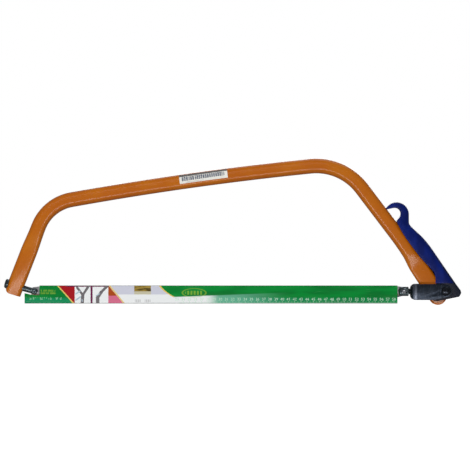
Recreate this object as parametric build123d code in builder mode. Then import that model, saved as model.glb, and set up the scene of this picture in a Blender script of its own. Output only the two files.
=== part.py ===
from build123d import *

import os
from math import atan2, cos, degrees, hypot, radians, sin, tan

# A 24-inch bow saw: a bent flat-oval tube, a toothed blade pinned at both ends, an over-centre lever
# that pulls the blade tight through a U-shaped strap, and a guard that slides down off the teeth.
#
# X runs from the toe to the heel of the saw, Z is up, and the blade stands in the XZ plane.
# The origin is the middle of the whole saw. Side-view points (x, z) are measured from the front
# blade pin, and the saw is the same on both sides of the XZ plane, apart from its sticker.

# ---- driving dimensions, in millimetres and degrees ----

# where the front blade pin stands, from the middle of the saw
pin_from_middle = 319.45
pin_below_middle = 96.25

# blade
blade_length = 610.0
hole_inset = 7.0
hole_radius = 3.1
blade_thickness = 0.9
blade_back = 8.6
gullet_line = -6.5
tooth_tip_line = -13.4
tooth_groups = 20
cutters_per_group = 4
toothed_from = 22.0
toothed_to = 572.0
raker_drop = 0.5
raker_notch = 1.6
raker_half_width = 1.25
cutter_half_width = 0.25
shallow_gullet = 1.6

# tube: the bar's section, the sections of its pressed front and rear ends, and the centre line's corners
bar_width = 24.0
bar_thickness = 18.0
front_width = 27.0
front_thickness = 13.2
rear_width = 29.2
rear_thickness = 9.4
wall = 1.4
front_foot = (-38.0, -10.1)
front_bend = (21.0, 141.1)
arch_peak = (257.3, 182.6)
rear_bend = (497.0, 207.2)
rear_kink = (593.4, 80.2)
rear_end = (650.6, -7.3)
front_bend_radius = 70.0
arch_radius = 5000.0
rear_bend_radius = 92.0
kink_radius = 400.0
front_flat_length = 78.0
front_blend_length = 42.0
rear_flat_length = 56.0
rear_blend_length = 30.0
front_cut_centre = (-34.6, -5.4)
front_cut_slope = 17.5
front_corner_radius = 8.0

# sticker
sticker_from = 234.5
sticker_length = 78.0
sticker_low = -2.2
sticker_high = 8.4
sticker_thickness = 0.25

# front anchor: a bolt through the front leg, whose slotted end holds the blade
anchor_slope = 15.5
anchor_eye_radius = 4.8
anchor_shank_radius = 4.0
anchor_eye_flat = 4.0
anchor_slot_depth = 8.1
anchor_head_radius = 7.8
anchor_head_top = 49.6
leg_near_side = 20.5
leg_far_side = 43.5
blade_slot = 1.5
pin_radius = 3.0
pin_head_radius = 3.9
pin_head_height = 1.2

# lever
lever_pivot = (648.2, -3.0)
strap_pivot = (663.4, 0.5)
channel_inside = 9.5
channel_wall = 1.5
grip_wall = 2.6
heel = (686.7, 2.1)
channel_top = (634.8, 72.0)
cheek_eye_radius = 12.5
pivot_radius = 4.0
pivot_bore_radius = 4.06
sleeve_radius = 6.0
sleeve_half_length = 9.2
pivot_head_radius = 6.4
pivot_head_height = 1.2
curl_centre = (584.5, 124.5)
curl_radius = 19.4
curl_hole_centre = (581.6, 125.3)
curl_hole_radius = 10.3
curl_half_width = 9.0
tube_clearance = 0.6

# strap and rear blade holder
strap_inside = 12.5
side_play = 0.25
strap_wall = 2.0
strap_front = 606.5
strap_top = 12.0
strap_bottom = -13.8
strap_corner = 8.0
strap_bend_radius = 6.0
strap_taper_from = 645.0
strap_eye_radius = 9.5
strap_bore_radius = 3.56
rivet_radius = 3.5
rivet_head_radius = 7.4
rivet_head_height = 3.6
rivet_tail_radius = 5.0
rivet_tail_height = 1.8
washer_radius = 6.6
holder_radius = 7.7
holder_nose = 8.4
holder_slot_depth = 10.9
holder_flat = 6.0
holder_neck_from = 7.4
holder_neck_radius = 4.8
holder_shank_radius = 4.5
holder_washer_radius = 8.0
holder_washer_thickness = 1.2
holder_tail_radius = 6.2
holder_tail_height = 2.2

# guard
guard_from = -16.0
guard_to = 585.8
guard_top = 9.4
guard_bottom = -19.7
guard_half_gap = 1.0
guard_wall = 0.7
guard_notch_to = 8.2
guard_notch_bottom = -6.4
guard_notch_corner = 3.0
guard_notch_slope = 12.0

# ---- derived values and helpers ----

hole_span = blade_length - 2 * hole_inset
cheek_outside = channel_inside + channel_wall
grip_outside = cheek_outside + grip_wall
strap_outside = strap_inside + strap_wall
side_view = Plane(origin=(-pin_from_middle, 0, -pin_below_middle), x_dir=(1, 0, 0), z_dir=(0, -1, 0))


def heading(start, end):
    """Direction from one side-view point to another, in degrees."""
    return degrees(atan2(end[1] - start[1], end[0] - start[0]))


def step(point, angle, distance):
    """The side-view point a distance away from another in a direction."""
    return (point[0] + distance * cos(radians(angle)), point[1] + distance * sin(radians(angle)))


def beside(point, angle, offset):
    """The side-view point an offset to the left of a direction."""
    return step(point, angle + 90, offset)


def across(point, angle):
    """Plane square to a direction of the side view. Its X axis stays in the side view."""
    origin = side_view.from_local_coords(point)
    along = Vector(cos(radians(angle)), 0, sin(radians(angle)))
    left = Vector(-sin(radians(angle)), 0, cos(radians(angle)))
    return Plane(origin=origin, x_dir=left, z_dir=along)


def turned(point, angle):
    """Side-view plane whose origin is a side-view point and whose X axis has a direction."""
    origin = side_view.from_local_coords(point)
    return Plane(origin=origin, x_dir=(cos(radians(angle)), 0, sin(radians(angle))), z_dir=(0, -1, 0))


front_heading = heading(front_foot, front_bend)
rear_heading = heading(rear_kink, rear_end)
front_blend_from = step(front_foot, front_heading, front_flat_length)
front_blend_to = step(front_foot, front_heading, front_flat_length + front_blend_length)
rear_blend_to = step(rear_end, rear_heading, -rear_flat_length)
rear_blend_from = step(rear_end, rear_heading, -rear_flat_length - rear_blend_length)
bar_corners = [front_blend_to, front_bend, arch_peak, rear_bend, rear_kink, rear_blend_from]
bar_radii = [front_bend_radius, arch_radius, rear_bend_radius, kink_radius]


def save(part, name):
    """Label a finished piece and write it as one STEP file."""
    part.label = name
    export_step(part, f"parts/{name}.step")


os.makedirs("parts", exist_ok=True)


# ---- frame tube ----

def tube_body(inset):
    """The tube as a solid bar, with its skin moved inwards by an inset."""
    with BuildPart() as body:
        with BuildSketch(across(front_foot, front_heading)):
            SlotOverall(front_width - 2 * inset, front_thickness - 2 * inset)
        extrude(amount=front_flat_length)
        with BuildSketch(across(front_blend_from, front_heading)):
            SlotOverall(front_width - 2 * inset, front_thickness - 2 * inset)
        with BuildSketch(across(front_blend_to, front_heading)):
            SlotOverall(bar_width - 2 * inset, bar_thickness - 2 * inset)
        loft()
        with BuildLine(side_view) as centre_line:
            FilletPolyline(*bar_corners, radius=bar_radii)
        for run in centre_line.edges():
            with BuildSketch(Plane(origin=run @ 0, x_dir=(run % 0).cross(Vector(0, 1, 0)), z_dir=run % 0)):
                SlotOverall(bar_width - 2 * inset, bar_thickness - 2 * inset)
            if run.geom_type == GeomType.CIRCLE:
                bend = (run % 0).get_angle(run % 1)
                revolve(axis=Axis(run.arc_center, (0, 1, 0)), revolution_arc=bend)
            else:
                extrude(amount=run.length)
        with BuildSketch(across(rear_blend_from, rear_heading)):
            SlotOverall(bar_width - 2 * inset, bar_thickness - 2 * inset)
        with BuildSketch(across(rear_blend_to, rear_heading)):
            SlotOverall(rear_width - 2 * inset, rear_thickness - 2 * inset)
        loft()
        with BuildSketch(across(rear_blend_to, rear_heading)):
            SlotOverall(rear_width - 2 * inset, rear_thickness - 2 * inset)
        extrude(amount=rear_flat_length + rear_width / 2 + 1)
    return body.part


tube_skin = tube_body(0)
anchor_axis = across((0, 0), 180 - anchor_slope)

with BuildPart() as frame_tube:
    add(tube_skin)
    add(tube_body(wall), mode=Mode.SUBTRACT)
    # front end: cut on a slope, with the toe corner rounded off
    with BuildSketch(turned(front_cut_centre, -front_cut_slope)):
        with Locations((0, -front_width / 2)):
            Rectangle(2 * front_width, front_width)
        with Locations((-front_width / 2, front_corner_radius / 2)):
            Rectangle(2 * front_corner_radius, front_corner_radius)
        with Locations((front_corner_radius - front_width / 2 - 0.6, front_corner_radius)):
            Circle(front_corner_radius, mode=Mode.SUBTRACT)
            with Locations((front_corner_radius, 0)):
                Rectangle(2 * front_corner_radius, 2 * front_corner_radius, mode=Mode.SUBTRACT)
    extrude(amount=bar_thickness, both=True, mode=Mode.SUBTRACT)
    # rear end: rounded about its own centre
    with BuildSketch(turned(rear_end, rear_heading)):
        with Locations((rear_width / 2, 0)):
            Rectangle(rear_width, 2 * rear_width)
        Circle(rear_width / 2, mode=Mode.SUBTRACT)
    extrude(amount=bar_thickness, both=True, mode=Mode.SUBTRACT)
    # holes for the pivot sleeve and the anchor bolt
    with BuildSketch(side_view):
        with Locations(lever_pivot):
            Circle(sleeve_radius)
    extrude(amount=bar_thickness, both=True, mode=Mode.SUBTRACT)
    with BuildSketch(anchor_axis):
        Circle(anchor_shank_radius)
    extrude(amount=2 * leg_far_side, mode=Mode.SUBTRACT)
save(frame_tube.part, "frame_tube")


# ---- sticker on the near side of the top bar ----

with BuildLine(side_view) as arch_line:
    FilletPolyline(*bar_corners[1:4], radius=arch_radius)
arch = arch_line.edges().filter_by(GeomType.CIRCLE)[0]
sticker_share = (sticker_from - pin_from_middle - (arch @ 0).X) / arch.length
sticker_arc = arch.trim(sticker_share, sticker_share + sticker_length / arch.length)
sticker_start = side_view.to_local_coords(sticker_arc @ 0)
sticker_heading = degrees(atan2((sticker_arc % 0).Z, (sticker_arc % 0).X))
with BuildPart() as frame_sticker:
    with BuildSketch(across((sticker_start.X, sticker_start.Y), sticker_heading)):
        SlotOverall(bar_width + 2 * sticker_thickness, bar_thickness + 2 * sticker_thickness)
        SlotOverall(bar_width, bar_thickness, mode=Mode.SUBTRACT)
        with Locations(((sticker_low + sticker_high) / 2, bar_thickness / 2)):
            Rectangle(sticker_high - sticker_low, bar_thickness, mode=Mode.INTERSECT)
    sweep(path=sticker_arc)
save(frame_sticker.part, "frame_sticker")


# ---- front anchor ----

with BuildPart() as front_anchor_bolt:
    with BuildSketch(anchor_axis.offset(-anchor_eye_radius)):
        Circle(anchor_eye_radius)
    extrude(amount=anchor_eye_radius + leg_near_side)
    nose = front_anchor_bolt.faces().filter_by(GeomType.PLANE).sort_by(Axis.X)[-1]
    fillet(nose.edges(), anchor_eye_radius * 0.6)
    with BuildSketch(anchor_axis.offset(leg_far_side)):
        Circle(anchor_head_radius)
    extrude(amount=anchor_head_top - leg_far_side)
    crown = front_anchor_bolt.faces().filter_by(GeomType.PLANE).sort_by(Axis.X)[0]
    fillet(crown.edges(), 3.4)
    add(tube_skin, mode=Mode.SUBTRACT)
    with BuildSketch(anchor_axis.offset(leg_near_side - 6)):
        Circle(anchor_shank_radius)
    extrude(amount=leg_far_side - leg_near_side + 8)
    # flats on the eye, the slot for the blade and the hole for its pin
    with BuildSketch(turned((0, 0), 180 - anchor_slope)):
        Rectangle(2 * anchor_slot_depth, 4 * anchor_eye_radius)
    extrude(amount=blade_slot / 2, both=True, mode=Mode.SUBTRACT)
    for near in (-1, 1):
        with BuildSketch(side_view.offset(near * anchor_eye_flat)):
            Circle(anchor_eye_radius * 1.25)
        extrude(amount=near * anchor_eye_radius, mode=Mode.SUBTRACT)
    with BuildSketch(side_view):
        Circle(pin_radius)
    extrude(amount=anchor_eye_radius, both=True, mode=Mode.SUBTRACT)
save(front_anchor_bolt.part, "front_anchor_bolt")

with BuildPart() as front_blade_pin:
    with BuildSketch(side_view):
        Circle(pin_radius)
    extrude(amount=anchor_eye_flat, both=True)
    for near in (-1, 1):
        with BuildSketch(side_view.offset(near * anchor_eye_flat)):
            Circle(pin_head_radius)
        extrude(amount=near * pin_head_height)
    caps = front_blade_pin.faces().filter_by(Axis.Y).sort_by(Axis.Y)
    fillet(caps[0].edges() + caps[-1].edges(), 0.8)
save(front_blade_pin.part, "front_blade_pin")


# ---- blade ----

tooth_count = tooth_groups * (cutters_per_group + 1)
tooth_pitch = (toothed_to - toothed_from) / tooth_count


def is_raker(tooth):
    """Every group of cutters stands between two rakers."""
    return tooth % (cutters_per_group + 1) == 0


def tooth_edge():
    """Side-view points of the toothed edge, from the toe to the heel."""
    points = []
    for tooth in range(tooth_count + 1):
        x = toothed_from + tooth * tooth_pitch
        if is_raker(tooth):
            low = tooth_tip_line + raker_drop
            points += [(x - raker_half_width, low), (x, low + raker_notch), (x + raker_half_width, low)]
        else:
            points += [(x - cutter_half_width, tooth_tip_line), (x + cutter_half_width, tooth_tip_line)]
        if tooth < tooth_count:
            deep = is_raker(tooth) or is_raker(tooth + 1)
            floor = gullet_line if deep else gullet_line - shallow_gullet
            points += [(x + 0.38 * tooth_pitch, floor), (x + 0.62 * tooth_pitch, floor)]
    return points


with BuildPart() as saw_blade:
    with BuildSketch(side_view):
        with BuildLine():
            Polyline(
                (0, 0),
                (0, hole_inset),
                (hole_inset * 2, blade_back),
                (hole_span - hole_inset * 2, blade_back),
                (hole_span, hole_inset),
                (hole_span, -hole_inset),
                *reversed(tooth_edge()),
                (0, -hole_inset),
                close=True,
            )
        make_face()
        with Locations((0, 0), (hole_span, 0)):
            Circle(hole_inset)
        with Locations((0, 0), (hole_span, 0)):
            Circle(hole_radius, mode=Mode.SUBTRACT)
    extrude(amount=blade_thickness / 2, both=True)
save(saw_blade.part, "saw_blade")


# ---- guard ----

# the notch's lower edge climbs towards the toe, less steeply than the anchor, so that the guard can tip
notch_rise = (5 - guard_from) * tan(radians(guard_notch_slope))

with BuildPart() as blade_guard:
    with BuildSketch(Plane.YZ.offset(guard_from - pin_from_middle)):
        with BuildLine():
            Polyline(
                (-guard_half_gap - guard_wall, guard_top - pin_below_middle),
                (-guard_half_gap - guard_wall, guard_bottom - pin_below_middle),
                (guard_half_gap + guard_wall, guard_bottom - pin_below_middle),
                (guard_half_gap + guard_wall, guard_top - pin_below_middle),
                (guard_half_gap, guard_top - pin_below_middle),
                (guard_half_gap, guard_bottom + guard_wall - pin_below_middle),
                (-guard_half_gap, guard_bottom + guard_wall - pin_below_middle),
                (-guard_half_gap, guard_top - pin_below_middle),
                close=True,
            )
        make_face()
    extrude(amount=guard_to - guard_from)
    # the toe corner is cut away round the anchor's eye, open at the top so that the guard slides down
    with BuildSketch(side_view):
        with BuildLine():
            Polyline(
                (guard_from - 5, guard_top + 5),
                (guard_from - 5, guard_notch_bottom + notch_rise),
                (0, guard_notch_bottom),
                (guard_notch_to - guard_notch_corner, guard_notch_bottom),
                (guard_notch_to, guard_notch_bottom + guard_notch_corner),
                (guard_notch_to, guard_top + 5),
                close=True,
            )
        make_face()
    extrude(amount=3 * guard_half_gap, both=True, mode=Mode.SUBTRACT)
save(blade_guard.part, "blade_guard")


# ---- lever ----

back_heading = heading(heel, channel_top)
channel_length = hypot(channel_top[0] - heel[0], channel_top[1] - heel[1])
tube_back = rear_width / 2 + tube_clearance
bar_back = bar_width / 2 + tube_clearance

# the cheeks' outline, from the heel up the back and down the edge that faces the tube
cheek_outline = [
    heel,
    channel_top,
    (626.5, 81.5),
    (606.5, 79.0),
    (623.5, 56.5),
    (640.0, 39.5),
    (647.5, 29.0),
    (649.0, 18.0),
    (646.0, 9.5),
    lever_pivot,
    (650.0, -15.3),
    (660.0, -13.6),
    (684.6, -8.6),
    (688.0, -2.5),
]

with BuildPart() as lever_channel:
    with BuildSketch(side_view):
        with BuildLine():
            Polyline(*cheek_outline, close=True)
        make_face()
        with Locations(lever_pivot):
            Circle(cheek_eye_radius)
    extrude(amount=cheek_outside, both=True)
    # the channel's inside: everything in front of its back wall
    with BuildSketch(turned(beside(heel, back_heading, channel_wall), back_heading)):
        with Locations((channel_length / 2, channel_length / 2)):
            Rectangle(2 * channel_length, channel_length)
    extrude(amount=channel_inside, both=True, mode=Mode.SUBTRACT)
    with BuildSketch(side_view):
        with Locations(lever_pivot):
            Circle(pivot_radius)
        with Locations(strap_pivot):
            Circle(rivet_radius)
    extrude(amount=cheek_outside, both=True, mode=Mode.SUBTRACT)
save(lever_channel.part, "lever_channel")

with BuildPart() as lever_grip:
    with BuildSketch(side_view):
        with BuildLine():
            back = Polyline((671.0, 13.0), (679.3, 13.0), (638.3, 73.1))
            shoulder = Spline(back @ 1, (627.8, 86.0), (610.9, 100.6), (604.0, 109.0))
            neck = Polyline(shoulder @ 1, (604.0, 121.0), (585.0, 118.0), (584.0, 111.9))
            edge = Spline(neck @ 1, (595.0, 91.0), (609.1, 71.5), (624.5, 51.5), (638.4, 37.6))
            Polyline(edge @ 1, (644.7, 29.9), (646.9, 19.0), (645.6, 13.0), (671.0, 13.0))
        make_face()
    extrude(amount=grip_outside, both=True)
    # the finger curl
    with BuildSketch(side_view):
        with Locations(curl_centre):
            Circle(curl_radius)
        with Locations(curl_hole_centre):
            Circle(curl_hole_radius, mode=Mode.SUBTRACT)
        with BuildLine():
            Polyline((582.5, 135.6), (566.0, 132.2), (560.0, 108.0), (582.5, 108.0), close=True)
        make_face(mode=Mode.SUBTRACT)
    extrude(amount=curl_half_width, both=True)
    # room for the channel, open towards the tube
    with BuildSketch(side_view):
        with BuildLine():
            Polyline(
                step(heel, back_heading, -channel_length / 2),
                *cheek_outline[1:3],
                (604.0, 82.0),
                (560.0, 60.0),
                (620.0, -40.0),
                close=True,
            )
        make_face()
    extrude(amount=cheek_outside, both=True, mode=Mode.SUBTRACT)
    # room for the tube's back
    with BuildSketch(side_view):
        with BuildLine():
            Polyline(
                beside(rear_bend, heading(rear_bend, rear_kink), bar_back),
                beside(rear_kink, heading(rear_bend, rear_kink), bar_back),
                beside(rear_end, rear_heading, tube_back),
                beside(rear_end, rear_heading, -2 * rear_width),
                beside(rear_bend, heading(rear_bend, rear_kink), -2 * rear_width),
                close=True,
            )
        make_face()
    extrude(amount=channel_inside, both=True, mode=Mode.SUBTRACT)
save(lever_grip.part, "lever_grip")

with BuildPart() as pivot_sleeve:
    with BuildSketch(side_view):
        with Locations(lever_pivot):
            Circle(sleeve_radius)
            Circle(pivot_bore_radius, mode=Mode.SUBTRACT)
    extrude(amount=sleeve_half_length, both=True)
save(pivot_sleeve.part, "pivot_sleeve")

with BuildPart() as lever_pivot_rivet:
    with BuildSketch(side_view):
        with Locations(lever_pivot):
            Circle(pivot_radius)
    extrude(amount=cheek_outside, both=True)
    for near in (-1, 1):
        with BuildSketch(side_view.offset(near * cheek_outside)):
            with Locations(lever_pivot):
                Circle(pivot_head_radius)
        extrude(amount=near * pivot_head_height)
    caps = lever_pivot_rivet.faces().filter_by(Axis.Y).sort_by(Axis.Y)
    fillet(caps[0].edges() + caps[-1].edges(), 0.8)
save(lever_pivot_rivet.part, "lever_pivot_rivet")


# ---- strap, its rivets and washers ----

strap_length = strap_pivot[0] + strap_eye_radius - strap_front
with BuildPart() as tension_strap:
    with BuildSketch(Plane.XY.offset(strap_bottom - pin_below_middle)):
        with Locations((strap_front - pin_from_middle + strap_length / 2, 0)):
            Rectangle(strap_length, 2 * strap_outside)
    extrude(amount=strap_top - strap_bottom)
    bends = tension_strap.edges().filter_by(Axis.Z).group_by(Axis.X)[0]
    fillet(bends, strap_bend_radius)
    with BuildSketch(Plane.XY.offset(strap_bottom - pin_below_middle)):
        with Locations((strap_front - pin_from_middle + strap_wall + strap_length, 0)):
            RectangleRounded(2 * strap_length, 2 * strap_inside, strap_bend_radius - strap_wall)
    extrude(amount=strap_top - strap_bottom, mode=Mode.SUBTRACT)
    with BuildSketch(side_view):
        with Locations(((strap_front + strap_taper_from) / 2, (strap_top + strap_bottom) / 2)):
            RectangleRounded(strap_taper_from - strap_front, strap_top - strap_bottom, strap_corner)
        with Locations(((strap_front + 3 * strap_taper_from) / 4, (strap_top + strap_bottom) / 2)):
            Rectangle((strap_taper_from - strap_front) / 2, strap_top - strap_bottom)
        with Locations(strap_pivot):
            Circle(strap_eye_radius)
        make_hull()
    extrude(amount=strap_outside, both=True, mode=Mode.INTERSECT)
    with BuildSketch(side_view):
        with Locations(strap_pivot):
            Circle(strap_bore_radius)
    extrude(amount=strap_outside, both=True, mode=Mode.SUBTRACT)
    with BuildSketch(across((strap_front - 1, 0), 0)):
        Circle(holder_shank_radius)
    extrude(amount=strap_wall + 2, mode=Mode.SUBTRACT)
save(tension_strap.part, "tension_strap")

with BuildPart() as strap_rivets:
    for near in (-1, 1):
        with BuildSketch(side_view.offset(near * (channel_inside - rivet_tail_height))):
            with Locations(strap_pivot):
                Circle(rivet_tail_radius)
        extrude(amount=near * rivet_tail_height)
        with BuildSketch(side_view.offset(near * channel_inside)):
            with Locations(strap_pivot):
                Circle(rivet_radius)
        extrude(amount=near * (strap_outside + side_play - channel_inside))
        with BuildSketch(side_view.offset(near * (strap_outside + side_play))):
            with Locations(strap_pivot):
                Circle(rivet_head_radius)
        extrude(amount=near * rivet_head_height)
    caps = strap_rivets.faces().filter_by(Axis.Y).sort_by(Axis.Y)
    fillet(caps[0].edges() + caps[-1].edges(), rivet_head_height - 0.6)
save(strap_rivets.part, "strap_rivets")

with BuildPart() as strap_washers:
    for near in (-1, 1):
        with BuildSketch(side_view.offset(near * cheek_outside)):
            with Locations(strap_pivot):
                Circle(washer_radius)
                Circle(rivet_radius, mode=Mode.SUBTRACT)
        extrude(amount=near * (strap_inside - cheek_outside - side_play))
save(strap_washers.part, "strap_washers")


# ---- rear blade holder ----

rear_pin = (hole_span, 0)
with BuildPart() as rear_blade_holder:
    with BuildSketch(across(step(rear_pin, 180, holder_nose), 0)):
        Circle(holder_radius)
    extrude(amount=holder_nose + holder_neck_from)
    nose = rear_blade_holder.faces().filter_by(Axis.X).sort_by(Axis.X)[0]
    fillet(nose.edges(), holder_radius * 0.7)
    with BuildSketch(across(step(rear_pin, 0, holder_neck_from), 0)):
        Circle(holder_neck_radius)
    extrude(amount=strap_front - hole_span - holder_neck_from)
    with BuildSketch(across((strap_front, 0), 0)):
        Circle(holder_shank_radius)
    extrude(amount=strap_wall + holder_washer_thickness)
    with BuildSketch(across((strap_front + strap_wall + holder_washer_thickness, 0), 0)):
        Circle(holder_tail_radius)
    extrude(amount=holder_tail_height)
    tail = rear_blade_holder.faces().filter_by(Axis.X).sort_by(Axis.X)[-1]
    fillet(tail.edges(), 1.6)
    # flats beside the pin, the slot for the blade and the hole for the pin
    for near in (-1, 1):
        with BuildSketch(side_view.offset(near * holder_flat)):
            with Locations(rear_pin):
                Circle(holder_nose * 1.05)
        extrude(amount=near * holder_radius, mode=Mode.SUBTRACT)
    with BuildSketch(side_view):
        with Locations(step(rear_pin, 180, holder_nose)):
            Rectangle(2 * (holder_nose + holder_slot_depth), 4 * holder_radius)
    extrude(amount=blade_slot / 2, both=True, mode=Mode.SUBTRACT)
    with BuildSketch(side_view):
        with Locations(rear_pin):
            Circle(pin_radius)
    extrude(amount=holder_radius, both=True, mode=Mode.SUBTRACT)
save(rear_blade_holder.part, "rear_blade_holder")

with BuildPart() as holder_washer:
    with BuildSketch(across((strap_front + strap_wall, 0), 0)):
        Circle(holder_washer_radius)
        Circle(holder_shank_radius, mode=Mode.SUBTRACT)
    extrude(amount=holder_washer_thickness)
save(holder_washer.part, "holder_washer")

# the pin stops at the slot's faces, so that the blade can leave it as the lever opens
with BuildPart() as rear_blade_pin:
    for near in (-1, 1):
        with BuildSketch(side_view.offset(near * blade_slot / 2)):
            with Locations(rear_pin):
                Circle(pin_radius)
        extrude(amount=near * (holder_flat - blade_slot / 2))
        with BuildSketch(side_view.offset(near * holder_flat)):
            with Locations(rear_pin):
                Circle(pin_head_radius)
        extrude(amount=near * pin_head_height)
    caps = rear_blade_pin.faces().filter_by(Axis.Y).sort_by(Axis.Y)
    fillet(caps[0].edges() + caps[-1].edges(), 0.8)
save(rear_blade_pin.part, "rear_blade_pin")
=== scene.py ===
"""The looks of a 24-inch bow saw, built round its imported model.

Shapes are drawn in millimetres from the front blade pin, as on the maker's side view: x runs to the
heel, z is up, and y is square to the blade, with the near side at minus y. DRAWING puts them in the frame.
"""

import logging
from dataclasses import dataclass, field
from enum import Enum
from math import asin, atan, atan2, cos, hypot, pi, radians, sin, sqrt, tan
from typing import Callable, Iterable, Optional, Union

import bmesh
import bpy
from mathutils import Matrix, Vector


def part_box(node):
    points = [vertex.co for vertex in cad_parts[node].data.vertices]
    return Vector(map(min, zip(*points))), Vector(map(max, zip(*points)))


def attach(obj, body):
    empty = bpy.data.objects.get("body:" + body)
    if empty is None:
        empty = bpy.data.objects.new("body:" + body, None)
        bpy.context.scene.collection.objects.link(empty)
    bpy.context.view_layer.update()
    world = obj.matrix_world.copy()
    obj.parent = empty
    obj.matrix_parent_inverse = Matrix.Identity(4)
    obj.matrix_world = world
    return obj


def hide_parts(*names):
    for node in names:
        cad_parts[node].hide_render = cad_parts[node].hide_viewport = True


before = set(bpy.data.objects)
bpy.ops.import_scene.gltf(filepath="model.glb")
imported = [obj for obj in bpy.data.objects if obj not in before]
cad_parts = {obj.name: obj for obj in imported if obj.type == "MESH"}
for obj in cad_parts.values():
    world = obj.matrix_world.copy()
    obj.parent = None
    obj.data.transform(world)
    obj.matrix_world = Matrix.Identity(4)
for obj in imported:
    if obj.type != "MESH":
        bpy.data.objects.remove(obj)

log = logging.getLogger("bow_saw")
MM = 0.001
Y_AXIS = Vector((0, 1, 0))
X_AXIS = Vector((1, 0, 0))
Point = tuple[float, float]
Stroke = tuple[Point, Point, float]
Colour = tuple[float, float, float, float]
Socket = bpy.types.NodeSocket
Shape = bmesh.types.BMesh
Piece = bpy.types.Object
WHITE: Colour = (1.0, 1.0, 1.0, 1.0)
UP = Vector((0, 0, 1))
ORIGIN = Vector((0, 0, 0))
SHARP_TURN = 40.0  # degrees past which a copied edge is rounded
FLAT_TURN = 0.6  # degrees below which a copied edge is dissolved
JOIN = 0.0005  # millimetres within which points are one
FIGURE_SHARE = 0.7  # a figure's height in its font's size
COPY_JOIN = 0.004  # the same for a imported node's points


class Body(Enum):
    """The bodies that move against each other."""

    FRAME = "frame"
    LEVER = "lever"
    STRAP = "strap"
    BLADE = "blade"
    GUARD = "guard"


class Slot(Enum):
    """The record's material slots."""

    ORANGE = "frame_orange"
    STICKER = "sticker"
    ZINC = "zinc_steel"
    STRAP = "strap_steel"
    DARK = "dark_steel"
    BLADE = "blade_steel"
    GUARD = "printed_guard"
    NAVY = "lever_navy"


# ---- the drawing ----


def centre_of(node: str) -> Vector:
    """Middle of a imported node's box.

    Args:
        node: The node's name.

    Returns:
        The point in the frame, in metres.
    """
    low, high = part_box(node)
    return (Vector(low) + Vector(high)) / 2


@dataclass(frozen=True)
class Drawing:
    """The side view, whose origin is the front blade pin.

    Attributes:
        pin: The front blade pin in the frame, in metres.
    """

    pin: Vector

    def to_frame(self) -> Matrix:
        """Matrix from the drawing's millimetres to the frame's metres."""
        return Matrix.Translation(self.pin) @ Matrix.Scale(MM, 4)

    def at(self, node: str) -> Point:
        """Place of a round node's axis on the side view.

        Args:
            node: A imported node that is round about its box's middle.

        Returns:
            The point (x, z).
        """
        offset = (centre_of(node) - self.pin) / MM
        return offset.x, offset.z

    def axis_of(self, node: str) -> Vector:
        """Where a round node's axis crosses the saw's middle plane, on the drawing."""
        x, z = self.at(node)
        return Vector((x, 0, z))


DRAWING = Drawing(centre_of("front_blade_pin"))


def heading(start: Point, end: Point) -> float:
    """Direction from one side-view point to another, in radians from x towards z."""
    return atan2(end[1] - start[1], end[0] - start[0])


def apart(start: Point, end: Point) -> float:
    """Distance between two side-view points."""
    return hypot(end[0] - start[0], end[1] - start[1])


def step(point: Point, angle: float, distance: float) -> Point:
    """The point a distance away from another in a direction, in radians."""
    return point[0] + distance * cos(angle), point[1] + distance * sin(angle)


def across(point: Point, angle: float) -> Matrix:
    """Matrix that lays a section, drawn as (left, y, along), square to a direction of the side view.

    Args:
        point: Where the section's middle goes.
        angle: The direction, in radians from x towards z.

    Returns:
        The matrix.
    """
    left = Vector((-sin(angle), 0, cos(angle)))
    along = Vector((cos(angle), 0, sin(angle)))
    turned = Matrix((left, Y_AXIS, along)).transposed().to_4x4()
    return Matrix.Translation((point[0], 0, point[1])) @ turned


# ---- shader wiring ----


def operator(operation: str, swapped: bool = False) -> Callable[["Wire", "Value"], "Wire"]:
    """Method of a wire that stands behind one of Python's operators.

    Args:
        operation: The Math node's operation.
        swapped: True where the wire is on the operator's right.

    Returns:
        The method.
    """

    def method(wire: "Wire", other: "Value") -> "Wire":
        """Add the operator's Math node."""
        return wire.recipe.maths(operation, *((other, wire) if swapped else (wire, other)))

    return method


class Wire:
    """A number that varies over a surface. Arithmetic on it adds Math nodes.

    A comparison is 1 where it holds, else 0, and | takes the greater of two masks.
    """

    __add__ = operator("ADD")
    __radd__ = operator("ADD", swapped=True)
    __sub__ = operator("SUBTRACT")
    __rsub__ = operator("SUBTRACT", swapped=True)
    __mul__ = operator("MULTIPLY")
    __rmul__ = operator("MULTIPLY", swapped=True)
    __truediv__ = operator("DIVIDE")
    __mod__ = operator("FLOORED_MODULO")
    __gt__ = operator("GREATER_THAN")
    __lt__ = operator("LESS_THAN")
    __or__ = operator("MAXIMUM")

    def __init__(self, recipe: "Recipe", socket: Socket) -> None:
        """Hold one output socket of a recipe."""
        self.recipe = recipe
        self.socket = socket

    def __abs__(self) -> "Wire":
        """Size of the value, without its sign."""
        return self.recipe.maths("ABSOLUTE", self)

    def root(self) -> "Wire":
        """Square root of the value."""
        return self.recipe.maths("SQRT", self)

    def between(self, low: float, high: float) -> "Wire":
        """1 where the value lies between two numbers, else 0."""
        return (self > low) * (self < high)

    def rise(self, low: float, high: float) -> "Wire":
        """Smooth mask that goes from 0 at low to 1 at high.

        Args:
            low: The value below which the mask is 0.
            high: The value above which it is 1.

        Returns:
            The mask.
        """
        inputs = {"Value": self, "From Min": low, "From Max": high}
        settings = {"interpolation_type": "SMOOTHSTEP"}
        return Wire(self.recipe, self.recipe.node("ShaderNodeMapRange", settings, inputs).outputs[0])


Value = Union[Wire, float]
Paint = Union[Socket, Colour]


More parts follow.
